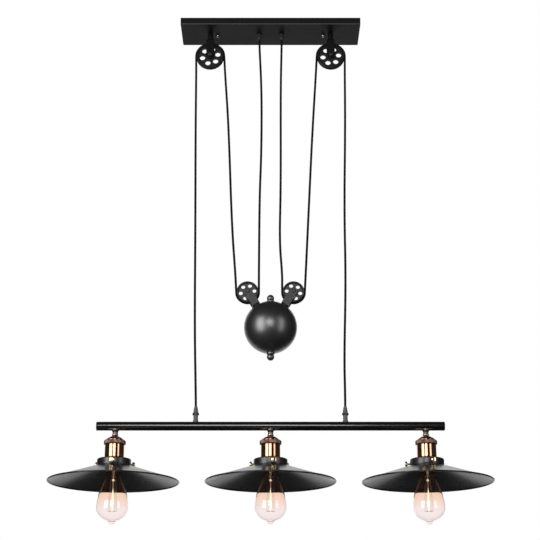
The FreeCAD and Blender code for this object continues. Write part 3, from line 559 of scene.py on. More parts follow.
def read_line(points):
    """The vertices of the smooth line that has the given points as its controls."""
    curve = bpy.data.curves.new("cord route", "CURVE")
    curve.dimensions = "3D"
    curve.resolution_u = 10
    spline = curve.splines.new("NURBS")
    spline.points.add(len(points) - 1)
    for control, place in zip(spline.points, points):
        control.co = (*place, 1.0)
    spline.order_u = 3
    spline.use_endpoint_u = True
    thing = bpy.data.objects.new("cord route", curve)
    mesh = bpy.data.meshes.new_from_object(thing)
    line = [vertex.co.copy() for vertex in mesh.vertices]
    bpy.data.meshes.remove(mesh)
    bpy.data.objects.remove(thing)
    bpy.data.curves.remove(curve)
    return line


def tube(line, radius, sides, travelled):
    """A mesh tube that follows a line, with a map of the way round and along it.

    travelled is the length of cord before the line, and comes back with the line's added.
    """
    bm = bmesh.new()
    uv = bm.loops.layers.uv.new("Along")
    across = Vector((0, 1, 0))
    rings, along = [], []
    for i, place in enumerate(line):
        before, after = line[max(i - 1, 0)], line[min(i + 1, len(line) - 1)]
        way = (after - before).normalized()
        out = across.cross(way).normalized()
        side = way.cross(out)
        if i:
            travelled += (place - line[i - 1]).length
        along.append(travelled)
        ring = []
        for k in range(sides):
            a = FULL_TURN * k / sides
            ring.append(bm.verts.new(place + radius * (math.cos(a) * out + math.sin(a) * side)))
        rings.append(ring)
    for i in range(len(rings) - 1):
        low, high = rings[i], rings[i + 1]
        for k in range(sides):
            nxt = (k + 1) % sides
            face = bm.faces.new((low[k], low[nxt], high[nxt], high[k]))
            here, there = k / sides, (k + 1) / sides
            marks = ((here, along[i]), (there, along[i]))
            marks += ((there, along[i + 1]), (here, along[i + 1]))
            for loop, mark in zip(face.loops, marks):
                loop[uv].uv = mark
    bm.faces.new(rings[0])
    bm.faces.new(reversed(rings[-1]))
    return bm, travelled


def eased(outline, radius=0.5, steps=3):
    """Rounds the corners of a closed (radius, height) outline, but not those on the axis."""
    rounded = []
    for i, point in enumerate(outline):
        here = Vector(point)
        before, after = Vector(outline[i - 1]), Vector(outline[(i + 1) % len(outline)])
        if here.x < TINY:
            rounded.append(here)
            continue
        reach = min(radius, 0.45 * (before - here).length, 0.45 * (after - here).length)
        start = here + reach * (before - here).normalized()
        end = here + reach * (after - here).normalized()
        for k in range(steps + 1):
            t = k / steps
            rounded.append((1 - t) ** 2 * start + 2 * t * (1 - t) * here + t * t * end)
    return rounded


def bow(first, middle, last, steps):
    """Points on the smooth arc from first to last that passes through middle."""
    a, m, b = Vector(first), Vector(middle), Vector(last)
    control = 2 * m - (a + b) / 2
    shares = [k / steps for k in range(steps + 1)]
    return [(1 - t) ** 2 * a + 2 * t * (1 - t) * control + t * t * b for t in shares]


def hump(a, b, c, d, steps=7):
    """The points after a on the smooth line from a to d that b and c pull."""
    shares = [k / steps for k in range(1, steps + 1)]
    return [
        tuple((1 - t) ** 3 * a + 3 * t * (1 - t) ** 2 * b + 3 * t * t * (1 - t) * c + t**3 * d)
        for t in shares
    ]


def slope(first, last, steps=12):
    """Points evenly spread on the straight line from first to last."""
    return [tuple(a + (b - a) * k / steps for a, b in zip(first, last)) for k in range(steps + 1)]


def lathe(bm, outline, steps=LATHE_STEPS, at=(0.0, 0.0), teeth=None):
    """Adds a solid of revolution from a closed (radius, height) outline in millimetres.

    teeth is a function of the step round it and the height that gives what the radius gains.
    """
    rings = []
    for r, z in outline:
        if r < TINY:
            rings.append([bm.verts.new((at[0] * MM, at[1] * MM, z * MM))])
            continue
        ring = []
        for k in range(steps):
            a = FULL_TURN * k / steps
            reach = r + (teeth(k, z) if teeth else 0.0)
            place = (at[0] + reach * math.cos(a), at[1] + reach * math.sin(a), z)
            ring.append(bm.verts.new(tuple(c * MM for c in place)))
        rings.append(ring)
    for low, high in zip(rings, rings[1:] + rings[:1]):
        if len(low) == 1 and len(high) == 1:
            continue
        for k in range(steps):
            n = (k + 1) % steps
            if len(low) == 1:
                bm.faces.new((low[0], high[n], high[k]))
            elif len(high) == 1:
                bm.faces.new((low[k], low[n], high[0]))
            else:
                bm.faces.new((low[k], low[n], high[n], high[k]))


def move_since(bm, matrix, since):
    """Moves the vertices that were added after the first ones counted."""
    bm.verts.ensure_lookup_table()
    bmesh.ops.transform(bm, matrix=matrix, verts=bm.verts[since:])


def rod(bm, start, end, radius, sides):
    """Adds a straight round wire between two points in metres."""
    a, b = Vector(start), Vector(end)
    turn = (b - a).to_track_quat("Z", "Y").to_matrix().to_4x4()
    size = (b - a).length / MM
    since = len(bm.verts)
    lathe(bm, [(0, 0), (radius, 0), (radius, size), (0, size)], sides)
    move_since(bm, Matrix.Translation(a) @ turn, since)


def facets(count, r):
    """What the radius gains for a prism with that many sides inside a circle of radius r."""
    sector = FULL_TURN / count

    def gain(k, _height):
        inside = (FULL_TURN * k / LATHE_STEPS) % sector - sector / 2
        return r * math.cos(sector / 2) / math.cos(inside) - r

    return gain


# ------------------------------------------------------------------ lamps

# Outlines are (radius, height) in millimetres, heights from the ceiling.
RING_TOP = -929.8
RING_FOOT = -937.4
FLANGE_TOP = -967.4
SHELL_R = 19.5
SHELL_FOOT = -969.4
COLLAR_R = 33.75
COLLAR_TOP = -966.2
COLLAR_FOOT = -980.0
NECK_TOP = -970.4
KNURL_DEPTH = 0.42
KNURL_STEPS = 4  # lathe steps a tooth

SCREWS_A_LAMP = 3
SCREW_HEIGHT = -974.2
SCREW_TURN = {"left": 1.0, "centre": 9.0, "right": 12.0}
SCREW_HEAD = [(0.0, 44.5), (2.4, 44.45), (4.2, 44.15), (5.2, 43.6), (5.8, 42.9), (5.9, 42.4)]
SCREW_HEAD += [(5.9, 41.4), (5.5, 40.6), (4.2, 39.9), (2.6, 39.6), (1.9, 39.0)]
SCREW_GRIP = (41.2, 42.6)  # the knurled part of the head
THREAD_FROM, THREAD_TO, THREAD_PITCH = 38.6, 29.4, 0.7

CONE_TOP = (34.9, -980.12)
CONE_FOOT = (127.0, -1010.25)
UNDER_FOOT = (126.6, -1011.0)
UNDER_TOP = (34.6, -980.86)
ROLL_R = 1.6
ROLL_MIDDLE = (128.4, -1011.1)
ROLL_TURNS = range(105, -204, -22)  # degrees


def lamp_x(name):
    return LAMPS[name] * LAMP_SPACING / MM


def make_at_lamps(name, outline, finish, node, steps=128, teeth=None):
    bm = bmesh.new()
    for lamp in LAMPS:
        lathe(bm, outline, steps, (lamp_x(lamp), 0.0), teeth)
    piece(name, bm, finish, BAR, [node])


def make_socket_caps():
    """A thin dome over each socket, with the neck that its nipple goes through."""
    dome = bow((6.9, -920.3), (13.9, -923.6), (20.2, -929.0), 14)
    inside = bow((19.0, RING_TOP), (12.9, -924.6), (6.0, -921.2), 8)
    rim = [(20.5, RING_TOP + 0.6), (20.5, RING_TOP + 0.1), (19.2, RING_TOP)]
    neck = [(5.5, -921.2), (5.5, -917.6), (6.0, -917.2), (6.5, -917.4), (6.6, -919.8)]
    make_at_lamps("socket_domes", neck + dome + rim + inside, "copper", "socket_caps")


def make_socket_rings(teeth):
    """A knurled ring round each socket; teeth is how many it has."""
    top, foot = RING_TOP - 0.05, RING_FOOT + 0.05

    def knurl(k, z):
        if not foot + 1.0 < z < top - 1.0:
            return 0.0
        return -KNURL_DEPTH * abs((k % KNURL_STEPS) / 2 - 1)

    upper = [(18.3, top), (20.9, top), (21.5, top - 0.5), (21.7, top - 0.95), (21.72, top - 1.05)]
    lower = [(r, top + foot - z) for r, z in reversed(upper)]
    outline = upper + [(21.72, (top + foot) / 2)] + lower
    steps = teeth * KNURL_STEPS
    make_at_lamps("knurled_rings", outline, "bronze", "socket_rings", steps, knurl)


def make_socket_shells():
    """Each socket's barrel, with a groove near its foot and a flange under the collar."""
    inside, bead, groove, flange = SHELL_R - 2.5, SHELL_R - 0.4, SHELL_R - 0.3, SHELL_R + 4.5
    outline = [(inside, RING_TOP - 0.6), (18.2, RING_TOP - 0.6), (18.2, RING_FOOT)]
    outline += [(bead, RING_FOOT - 0.05), (bead, RING_FOOT - 0.9), (SHELL_R, RING_FOOT - 1.3)]
    outline += [(SHELL_R, RING_FOOT - 25.2), (groove, RING_FOOT - 25.6)]
    outline += [(groove, RING_FOOT - 26.2), (SHELL_R, RING_FOOT - 26.6), (SHELL_R, FLANGE_TOP)]
    outline += [(flange, FLANGE_TOP), (flange, SHELL_FOOT), (inside, SHELL_FOOT)]
    make_at_lamps("socket_barrels", eased(outline, 0.3), "copper", "socket_shells", 160)


def make_collars():
    """The cup over each shade's neck, with a rounded shoulder."""
    shoulder = bow((30.9, COLLAR_TOP), (32.99, -967.0), (COLLAR_R, -969.0), 8)
    inside = bow((32.55, -969.2), (32.2, -968.0), (30.9, FLANGE_TOP), 6)
    rim = [(COLLAR_R, COLLAR_FOOT + 4.0), (COLLAR_R, COLLAR_FOOT + 0.6), (33.45, COLLAR_FOOT)]
    rim += [(32.75, COLLAR_FOOT), (32.55, COLLAR_FOOT + 0.4)]
    outline = [(19.6, COLLAR_TOP)] + shoulder + rim + inside + [(19.6, FLANGE_TOP)]
    make_at_lamps("collars", outline, "collar", "shade_collars", 160)


def make_thumb_screws():
    """Three screws a lamp: a threaded shank and a rounded, finely knurled head."""
    bm = bmesh.new()
    shank = []
    reach = THREAD_FROM
    while reach > THREAD_TO:
        shank += [(1.95, reach), (1.65, reach - THREAD_PITCH / 2)]
        reach -= THREAD_PITCH
    shank += [(1.6, 28.9), (0.0, 28.86)]

    def knurl(k, reach):
        return -0.16 * (k % 2) if SCREW_GRIP[0] < reach < SCREW_GRIP[1] else 0.0

    for lamp in LAMPS:
        place = Matrix.Translation(Vector((lamp_x(lamp), 0, SCREW_HEIGHT)) * MM)
        for i in range(SCREWS_A_LAMP):
            since = len(bm.verts)
            lathe(bm, SCREW_HEAD + shank, 48, teeth=knurl)
            turn = math.radians(SCREW_TURN[lamp]) + FULL_TURN * i / SCREWS_A_LAMP
            out = Matrix.Rotation(turn, 4, "Z") @ Matrix.Rotation(FULL_TURN / 4, 4, "X")
            move_since(bm, place @ out, since)
    piece("screws", bm, "brass", BAR, ["thumb_screws"])


def make_shades():
    """Each shade is one spun sheet: neck, shallow cone and a rim rolled outwards."""
    neck = [(28.0, NECK_TOP), (30.1, NECK_TOP), (30.1, NECK_TOP - 0.8), (28.8, NECK_TOP - 0.8)]
    foot = [(28.8, COLLAR_FOOT + 0.5), (29.3, COLLAR_FOOT), (34.2, COLLAR_FOOT)]
    roll = []
    for degrees in ROLL_TURNS:
        a = math.radians(degrees)
        roll.append((ROLL_MIDDLE[0] + ROLL_R * math.cos(a), ROLL_MIDDLE[1] + ROLL_R * math.sin(a)))
    outline = neck + foot + slope(CONE_TOP, CONE_FOOT) + roll + slope(UNDER_FOOT, UNDER_TOP)
    outline += [(28.6, -980.8), (28.0, -980.2)]
    for lamp in LAMPS:
        bm = bmesh.new()
        lathe(bm, outline, 256, (lamp_x(lamp), 0.0))
        piece(lamp + "_cone", bm, "shade", BAR, [lamp + "_shade"])


# ------------------------------------------------------------------ bulbs

BULB_FOOT = -978.8  # where the glass leaves the screw base
BULB_TIP = -1094.4
NECK_INSIDE = BULB_FOOT + 7.0  # the neck's end, inside the base
NECK_R = 13.4
BULB_R = 32.0
BELLY = BULB_FOOT - 83.0  # height of the widest place
FLANK_REACH = 31.0  # how far the neck and the belly pull the flank between them
FLANK_STEPS, BOWL_STEPS = 28, 24
BOWL_DEPTH = 26.6
NUB_R = 8.2
GLASS_WALL = 0.9

BASE_R = 12.95
BASE_THREADS = 6
BASE_PITCH = 3.0

HOOKS_TOP = BULB_FOOT - 22.0
HOOKS_FOOT = BULB_FOOT - 90.0
HOOKS_TOP_R = 5.0
HOOKS_FOOT_R = 9.0
WIRE_R = 0.06
HOOK_R = 0.2
WIRE_SIDES = 5


def bulb_outline(inset):
    """The envelope taken in by inset, from inside the base down to its tip."""
    flank = ((NECK_R, BULB_FOOT), (NECK_R, BULB_FOOT - FLANK_REACH))
    flank += ((BULB_R, BELLY + FLANK_REACH), (BULB_R, BELLY))
    points = [(12.1 - inset, NECK_INSIDE), (12.1 - inset, BULB_FOOT + 0.6)]
    points += [(12.6 - inset, BULB_FOOT)]
    for k in range(FLANK_STEPS + 1):
        t = k / FLANK_STEPS
        weights = ((1 - t) ** 3, 3 * t * (1 - t) ** 2, 3 * t * t * (1 - t), t**3)
        r = sum(w * p[0] for w, p in zip(weights, flank))
        z = sum(w * p[1] for w, p in zip(weights, flank))
        points.append((r - inset, z - (inset if k == 0 else 0.0)))
    last = math.acos(NUB_R / BULB_R)
    for k in range(1, BOWL_STEPS + 1):
        a = last * k / BOWL_STEPS
        down = (BOWL_DEPTH - inset) * math.sin(a)
        points.append(((BULB_R - inset) * math.cos(a), BELLY - down))
    shoulder, tip = Vector(points[-1]), Vector((0.0, BULB_TIP + inset))
    waist = Vector((0.78 * shoulder.x, shoulder.y - 2.1))
    points += hump(shoulder, shoulder + Vector((-1.2, -0.27)), waist + Vector((0.1, 1.0)), waist)
    points += hump(waist, waist + Vector((-0.3, -3.1)), tip + Vector((3.2, 0.0)), tip)
    points[-1] = (0.0, tip.y)
    return points


def make_envelope(lamp, body, at):
    bm = bmesh.new()
    outer, inner = bulb_outline(0.0), bulb_outline(GLASS_WALL)
    steps = 128
    lathe(bm, outer + inner[::-1], steps, at)
    outer_faces = steps * (len(outer) - 1)
    for i, face in enumerate(bm.faces):
        face.material_index = 0 if i < outer_faces else 1
    piece(lamp + "_envelope", bm, "glass", body, [lamp + "_bulb_glass"], lining="lining")


def make_screw_base(lamp, body, at):
    """The threaded shell and its domed end, which stand in the socket."""
    bm = bmesh.new()
    thread = []
    for k in range(BASE_THREADS):
        z = BULB_FOOT + 3.2 + BASE_PITCH * k
        thread += [(12.4, z - BASE_PITCH / 4), (BASE_R, z), (12.4, z + BASE_PITCH / 4)]
    outline = [(12.2, BULB_FOOT + 0.1), (BASE_R, BULB_FOOT + 0.1), (BASE_R, BULB_FOOT + 1.0)]
    outline += thread + [(12.6, -957.6), (8.0, -955.2), (5.0, -953.85), (0.0, -953.85)]
    outline += [(0.0, -955.4), (5.0, -955.4), (11.6, -958.4), (12.2, -960.0)]
    lathe(bm, outline, at=at)
    piece(lamp + "_screw_base", bm, "brass", body, [lamp + "_bulb_base"])


def make_stem(lamp, body, at):
    """The glass stem: a flare in the neck, a pinch, a bead, a long shaft and its button."""
    bm = bmesh.new()
    top = NECK_INSIDE
    outline = [(0.0, top), (11.0, top), (11.0, top - 0.8), (6.0, top - 3.0), (3.4, top - 10.0)]
    outline += [(2.4, top - 20.0), (1.1, top - 26.0), (1.0, -1006.2), (2.4, -1007.2)]
    outline += [(2.6, -1008.4), (2.0, -1009.8), (0.9, -1010.4), (0.9, -1022.0), (1.4, -1040.0)]
    outline += [(1.7, -1056.0), (1.5, -1063.0), (0.8, -1065.5), (0.7, BULB_FOOT - 91.0)]
    outline += [(0.0, BULB_FOOT - 91.8)]
    lathe(bm, outline, 32, at)
    piece(lamp + "_stem", bm, "stem", body, [lamp + "_bulb_filament"])


def make_filament(lamp, body, at, strands):
    """Wire strung up and down between two crowns of hooks round the stem."""
    bm = bmesh.new()

    def around(radius, share, height):
        a = FULL_TURN * share / strands
        return Vector((at[0] + radius * math.cos(a), radius * math.sin(a), height)) * MM

    for k in range(strands):
        head = around(HOOKS_TOP_R, k, HOOKS_TOP)
        foot = around(HOOKS_FOOT_R, k + 0.5, HOOKS_FOOT)
        rod(bm, head, foot, WIRE_R, WIRE_SIDES)
        rod(bm, foot, around(HOOKS_TOP_R, k + 1, HOOKS_TOP), WIRE_R, WIRE_SIDES)
        for hub, hook in ((HOOKS_TOP + 1.0, head), (HOOKS_FOOT + 0.4, foot)):
            rod(bm, Vector((at[0], 0, hub)) * MM, hook, HOOK_R, WIRE_SIDES)
    piece(lamp + "_filament_wire", bm, "wire", body)


def make_bulb(lamp, strands):
    body, at = lamp + "_bulb", (lamp_x(lamp), 0.0)
    make_envelope(lamp, body, at)
    make_screw_base(lamp, body, at)
    make_stem(lamp, body, at)
    make_filament(lamp, body, at, strands)


# ------------------------------------------------------------------ cords

PITCH_R = {"upper": 31.0, "lower": 23.4}
CORD_START = (25.0, -9.8)  # in the canopy's grip: (X, Z), as if on the right side
CORD_END = (150.0, -870.0)  # in the bar's grip
STRAIGHT_DIAMETERS = 6  # how far a run stays straight beside a pulley or grip
WRAP_CORNERS = 3

# Route points listed where the photograph's cord stands off a straight run: their height, and how
# far outwards of the run they are.
BY_HAND = {
    "left": {
        "canopy_run": [(-155.0, -5.6), (-305.0, -5.0), (-400.0, -1.2)],
        "inner_run": [(-470.0, 2.2), (-240.0, -1.8)],
        "bar_run": [(-250.0, 1.2), (-500.0, 1.5), (-700.0, 2.6)],
    },
    "right": {
        "canopy_run": [(-150.0, -2.6), (-380.0, -2.4), (-505.0, -5.6)],
        "inner_run": [(-420.0, -0.6), (-260.0, -1.2)],
        "bar_run": [(-240.0, 0.8), (-440.0, -1.6), (-590.0, 1.6), (-760.0, -2.0)],
    },
}

# Each stretch from start to end, with the bodies at its top and foot, or its only body.
STRETCHES = {
    "canopy_run": (CANOPY, WEIGHT),
    "lower_wrap": (WEIGHT,),
    "inner_run": (CANOPY, WEIGHT),
    "upper_wrap": (CANOPY,),
    "bar_run": (CANOPY, BAR),
}


def in_plane(point):
    """A place or a way in the cords' plane, from (X, Z) in millimetres."""
    return Vector((point[0] * MM, 0, point[1] * MM))


def beside(wheel, reach, degrees):
    """The point at that distance from a wheel's middle, turned from +X."""
    a = math.radians(degrees)
    return Vector((wheel.x + reach * math.cos(a), 0, wheel.z + reach * math.sin(a)))


def crossing_lean(upper, lower, radii):
    """How far the run that crosses between two wheels leans from upright, in degrees."""
    gap = upper - lower
    far = math.hypot(gap.x, gap.z)
    return math.degrees(math.atan2(gap.x, gap.z) - math.asin(radii / far))


def tangent_lean(point, wheel, radius, side):
    """How far the run from a point to a wheel's side leans from upright, in degrees."""
    gap = wheel - point
    far = math.hypot(gap.x, gap.z)
    return math.degrees(math.atan2(gap.x, abs(gap.z)) + side * math.asin(radius / far))


def run(start, end, by_hand, straight, lead_in, lead_out):
    """Control points of a run: straight beside both its ends, at the listed points between them.
    """
    way = (end - start).normalized()
    points = [start + lead_in * way, start + (lead_in + straight) * way]
    for height, outwards in by_hand:
        on_run = start.lerp(end, (height * MM - start.z) / (end.z - start.z))
        points.append(on_run + in_plane((outwards, 0)))
    return points + [end - (lead_out + straight) * way, end - lead_out * way]


def wrap(wheel, radius, first, last):
    """Where a cord meets and leaves a wheel, its control points between, and their lead."""
    step = (last - first) / WRAP_CORNERS
    half = math.radians(abs(step) / 2)
    reach, lead = radius / math.cos(half), radius * math.tan(half)
    corners = [beside(wheel, reach, first + step * (i + 0.5)) for i in range(WRAP_CORNERS)]
    return beside(wheel, radius, first), beside(wheel, radius, last), corners, lead


def cord_route(side, straight):
    """Control points of one cord, and the places where its stretches part."""
    way = SIDES[side]
    upper, lower = UPPER_WHEEL[side].copy(), LOWER_WHEEL[side].copy()
    for wheel in (upper, lower):
        wheel.x, wheel.y = abs(wheel.x), 0
    low_r, high_r = PITCH_R["lower"] * MM, PITCH_R["upper"] * MM
    start, end = in_plane(CORD_START), in_plane(CORD_END)
    first_lean = tangent_lean(start, lower, low_r, -1)
    cross_lean = crossing_lean(upper, lower, high_r + low_r)
    last_lean = tangent_lean(end, upper, high_r, 1)
    # under the lower wheel and over the upper one, each from its inner to its outer side
    low_in, low_out, under, low_lead = wrap(lower, low_r, 180 - first_lean, 360 - cross_lean)
    high_in, high_out, over, high_lead = wrap(upper, high_r, 180 - cross_lean, -last_lean)
    by_hand = BY_HAND[side]
    route = run(start, low_in, by_hand["canopy_run"], straight, 0.0, low_lead) + under
    route += run(low_out, high_in, by_hand["inner_run"], straight, low_lead, high_lead) + over
    route += run(high_out, end, by_hand["bar_run"], straight, high_lead, 0.0)
    partings = [low_in, low_out, high_in, high_out]
    return [[Vector((way * p.x, p.y, p.z)) for p in points] for points in (route, partings)]


def parted(line, partings):
    """The stretches of a line, cut at its vertices nearest to the partings."""
    cuts = [0]
    for parting in partings:
        after = range(cuts[-1] + 1, len(line) - 1)
        cuts.append(min(after, key=lambda i: (line[i] - parting).length))
    cuts.append(len(line) - 1)
    return [line[first : last + 1] for first, last in zip(cuts, cuts[1:])]


def make_cord(side, settings):
    """One cord in five pieces: the runs reach between two bodies and ride neither, the wraps ride
    one.
    """
    route, partings = cord_route(side, STRAIGHT_DIAMETERS * settings.thickness)
    travelled = 0.0
    for (name, bodies), stretch in zip(STRETCHES.items(), parted(read_line(route), partings)):
        bm, after = tube(stretch, settings.thickness / 2, settings.sides, travelled)
        node = side + "_" + name
        blended = len(bodies) == 2
        thing = piece(node + "_cord", bm, "cord", None if blended else bodies[0], [node])
        if blended:
            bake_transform(thing)
        travelled = after


# ------------------------------------------------------------------ small fittings

GRIP_FOOT = -891.0
GRIP_HOLE_R = 2.7
RIBS_FROM, RIBS_TO, RIB_PITCH = 18.4, 28.5, 1.7  # above the grip's foot
LOCK_RING_R = 6.6


def make_bar_grips():
    """The two ribbed strain reliefs on the bar, each with a six-sided lock ring."""
    profile = [(0.0, -4.0), (4.9, -4.0), (4.9, -0.2), (5.5, 0.6), (5.5, 2.0), (4.7, 2.6)]
    profile += [(4.7, 12.4), (5.4, 13.0), (5.4, 17.8)]
    height = RIBS_FROM
    while height < RIBS_TO:
        r = 5.1 - 1.3 * (height - RIBS_FROM) / 11.0
        profile += [(r, height), (r, height + 0.8)]
        profile += [(r - 0.6, height + 1.0), (r - 0.6, height + 1.5)]
        height += RIB_PITCH
    profile += [(3.3, 30.6), (3.0, 31.0), (GRIP_HOLE_R, 30.8), (GRIP_HOLE_R, 21.0), (0.0, 21.0)]
    ring = eased([(5.45, 13.2), (LOCK_RING_R, 13.2), (LOCK_RING_R, 17.6), (5.45, 17.6)])
    grips, rings = bmesh.new(), bmesh.new()
    for way in SIDES.values():
        at = (way * CORD_END[0], 0.0)
        lathe(grips, [(r, GRIP_FOOT + z) for r, z in profile], 48, at)
        lathe(rings, [(r, GRIP_FOOT + z) for r, z in ring], at=at, teeth=facets(6, LOCK_RING_R))
    piece("bar_grips", grips, "grip", BAR, ["bar_cord_grips"])
    piece("bar_grip_rings", rings, "plastic", BAR)


# ------------------------------------------------------------------ stage

CAMERA_PLACE = (-0.0011, -2.466, -1.415)
CAMERA_PITCH = 18.918
FOCAL_PIXELS = 1250.0
IMAGE_PIXELS = 540.0
SENSOR = 36.0
WINDOW_AIM = -0.75
WINDOWS = [  # azimuth from the front, distance, height, width, tallness, brightness
    (-44.0, 2.3, -0.55, 1.25, 2.1, 1.04),
    (-3.5, 2.7, -0.35, 1.05, 1.05, 1.38),
    (47.0, 2.3, -0.55, 0.68, 2.1, 0.58),
]
FLOOR_HALF = 8.0
ROOM_R, ROOM_LOW, ROOM_HIGH, ROOM_HUB_Y = 3.4, -2.38, 1.6, -0.3
ROOM_FROM, ROOM_TO, ROOM_STEPS = -142, 150, 32  # degrees from the front


def make_camera():
    data = bpy.data.cameras.new("camera")
    data.sensor_width = SENSOR
    data.lens = FOCAL_PIXELS * SENSOR / IMAGE_PIXELS
    thing = link("camera", data)
    thing.location = CAMERA_PLACE
    thing.rotation_euler = (math.radians(90 + CAMERA_PITCH), 0, 0)
    bpy.context.scene.camera = thing


def make_world(ambient):
    """White to the eye, in reflections and through glass, and a softer light on surfaces."""
    world = bpy.data.worlds.new("studio")
    world.use_nodes = True
    bpy.context.scene.world = world
    g = Graph(world.node_tree)
    strength = g.remap(g.seen_directly(), 0.0, 1.0, ambient, 1.0)
    white = (1.0, 1.0, 1.0, 1.0)
    light = g.add("ShaderNodeBackground", {}, {"Color": white, "Strength": strength})
    g.add("ShaderNodeOutputWorld", {}, {"Surface": light})


def make_window(azimuth, distance, height, width, tallness, power):
    data = bpy.data.lights.new("window", "AREA")
    data.shape = "RECTANGLE"
    data.size = width
    data.size_y = tallness
    data.energy = power
    thing = link("window", data)
    a = math.radians(azimuth)
    thing.location = (distance * math.sin(a), -distance * math.cos(a), height)
    aim = Vector((0, 0, WINDOW_AIM)) - thing.location
    aim.z = 0
    thing.rotation_euler = aim.to_track_quat("-Z", "Y").to_euler()
    thing.visible_camera = False
    thing.visible_transmission = False


def staged(name, bm, material):
    """A finished mesh as a part of the stage."""
    mesh = bpy.data.meshes.new(name)
    bm.to_mesh(mesh)
    bm.free()
    mesh.materials.append(material)
    thing = link(name, mesh)
    return thing


def make_floor(height):
    """A pale floor, as bright as the background to the eye and in reflections."""
    bm = bmesh.new()
    corners = ((-1, -1), (1, -1), (1, 1), (-1, 1))
    bm.faces.new([bm.verts.new((x * FLOOR_HALF, y * FLOOR_HALF, height)) for x, y in corners])
    material, g = new_finish("pale floor")
    mist = g.noise(3.0, 3.0)
    g.finish(
        {
            "Base Color": g.blend_colour(mist, (0.80, 0.80, 0.80), (0.84, 0.84, 0.84)),
            "Roughness": 0.9,
            "Specular IOR Level": 0.1,
            "Emission Color": g.blend_colour(g.seen_directly(), (0.0, 0.0, 0.0), (0.5, 0.5, 0.5)),
            "Emission Strength": 1.0,
        }
    )
    staged("floor", bm, material)


def make_dark_room():
    """The studio's unlit walls, floor and ceiling, open behind, seen only in reflections."""
    bm = bmesh.new()
    hub_low, hub_high = (bm.verts.new((0, ROOM_HUB_Y, z)) for z in (ROOM_LOW, ROOM_HIGH))
    rows = []
    for i in range(ROOM_STEPS + 1):
        a = math.radians(ROOM_FROM + (ROOM_TO - ROOM_FROM) * i / ROOM_STEPS)
        x, y = ROOM_R * math.sin(a), -ROOM_R * math.cos(a)
        rows.append((bm.verts.new((x, y, ROOM_LOW)), bm.verts.new((x, y, ROOM_HIGH))))
    for a, b in zip(rows, rows[1:]):
        bm.faces.new((a[0], b[0], b[1], a[1]))
        bm.faces.new((a[0], hub_low, b[0]))
        bm.faces.new((a[1], b[1], hub_high))
    bm.faces.new((rows[-1][1], rows[0][1], hub_high))
    bm.faces.new((rows[-1][0], hub_low, rows[0][0]))
    material, g = new_finish("dark room grey")
    mist = g.noise(2.0, 2.0)
    g.finish(
        {
            "Base Color": g.blend_colour(mist, (0.008, 0.008, 0.008), (0.012, 0.012, 0.012)),
            "Roughness": 0.9,
            "Emission Color": (1.0, 1.0, 1.0, 1.0),
            "Emission Strength": 0.028,
        }
    )
    room = staged("dark_room", bm, material)
    room.visible_camera = False
    room.visible_diffuse = False
    room.visible_transmission = False
    room.visible_shadow = False


# ------------------------------------------------------------------ operators


class PENDANT_OT_finishes(bpy.types.Operator):
    """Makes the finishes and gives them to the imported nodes"""

    bl_idname = "pendant.finishes"
    bl_label = "Finishes"

    def execute(self, context):
        make_finishes(context.scene.pendant_finish)
        for finish, nodes in CARRIED.items():
            for node in nodes:
                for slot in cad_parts[node].material_slots:
                    slot.material = FINISH[finish]
        return {"FINISHED"}


class PENDANT_OT_stage(bpy.types.Operator):
    """Adds the camera, the floor and the studio light"""

    bl_idname = "pendant.stage"
    bl_label = "Stage"

    def execute(self, context):
        stage = context.scene.pendant_stage
        context.scene.view_settings.view_transform = "Standard"
        make_camera()
        make_world(stage.ambient)
        for azimuth, distance, height, width, tallness, share in WINDOWS:
            power = stage.window * share * width * tallness
            make_window(azimuth, distance, height, width, tallness, power)
        make_floor(stage.floor)
        make_dark_room()
        return {"FINISHED"}


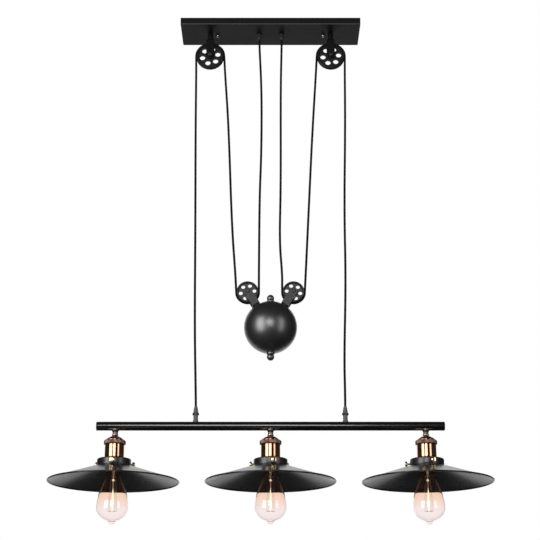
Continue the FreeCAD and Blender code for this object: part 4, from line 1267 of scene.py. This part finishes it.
class PENDANT_OT_lamps(bpy.types.Operator):
    """Makes the sockets, collars, thumb screws and shades"""

    bl_idname = "pendant.lamps"
    bl_label = "Lamps"

    def execute(self, context):
        make_socket_caps()
        make_socket_rings(context.scene.pendant_lamp.teeth)
        make_socket_shells()
        make_collars()
        make_thumb_screws()
        make_shades()
        return {"FINISHED"}


class PENDANT_OT_bulbs(bpy.types.Operator):
    """Makes the three glass bulbs with their bases, stems and filaments"""

    bl_idname = "pendant.bulbs"
    bl_label = "Bulbs"

    def execute(self, context):
        for lamp in LAMPS:
            make_bulb(lamp, context.scene.pendant_lamp.strands)
        return {"FINISHED"}


class PENDANT_OT_fittings(bpy.types.Operator):
    """Makes the small fittings on the bar"""

    bl_idname = "pendant.fittings"
    bl_label = "Fittings"

    def execute(self, context):
        make_bar_grips()
        return {"FINISHED"}


class PENDANT_OT_cords(bpy.types.Operator):
    """Lays the two cords over their pulleys"""

    bl_idname = "pendant.cords"
    bl_label = "Cords"

    def execute(self, context):
        for side in SIDES:
            make_cord(side, context.scene.pendant_cord)
        return {"FINISHED"}


STEPS = ("finishes", "stage", "cords", "lamps", "bulbs", "fittings")


class PENDANT_PT_panel(bpy.types.Panel):
    """Makes the pendant's finishes, stage and pieces, one group a button"""

    bl_label = "Pendant"
    bl_idname = "PENDANT_PT_panel"
    bl_space_type = "VIEW_3D"
    bl_region_type = "UI"
    bl_category = "Pendant"

    def draw(self, context):
        for step in STEPS:
            self.layout.operator("pendant." + step)


GROUPS = {
    "pendant_cord": CordSettings,
    "pendant_lamp": LampSettings,
    "pendant_finish": FinishSettings,
    "pendant_stage": StageSettings,
}
CLASSES = (
    *GROUPS.values(),
    PENDANT_OT_finishes,
    PENDANT_OT_stage,
    PENDANT_OT_cords,
    PENDANT_OT_lamps,
    PENDANT_OT_bulbs,
    PENDANT_OT_fittings,
    PENDANT_PT_panel,
)


def register():
    for cls in CLASSES:
        bpy.utils.register_class(cls)
    for name, group in GROUPS.items():
        setattr(bpy.types.Scene, name, PointerProperty(type=group))


def unregister():
    for name in GROUPS:
        delattr(bpy.types.Scene, name)
    for cls in reversed(CLASSES):
        bpy.utils.unregister_class(cls)


def main():
    register()
    for step in STEPS:
        getattr(bpy.ops.pendant, step)()


if __name__ == "__main__":
    main()
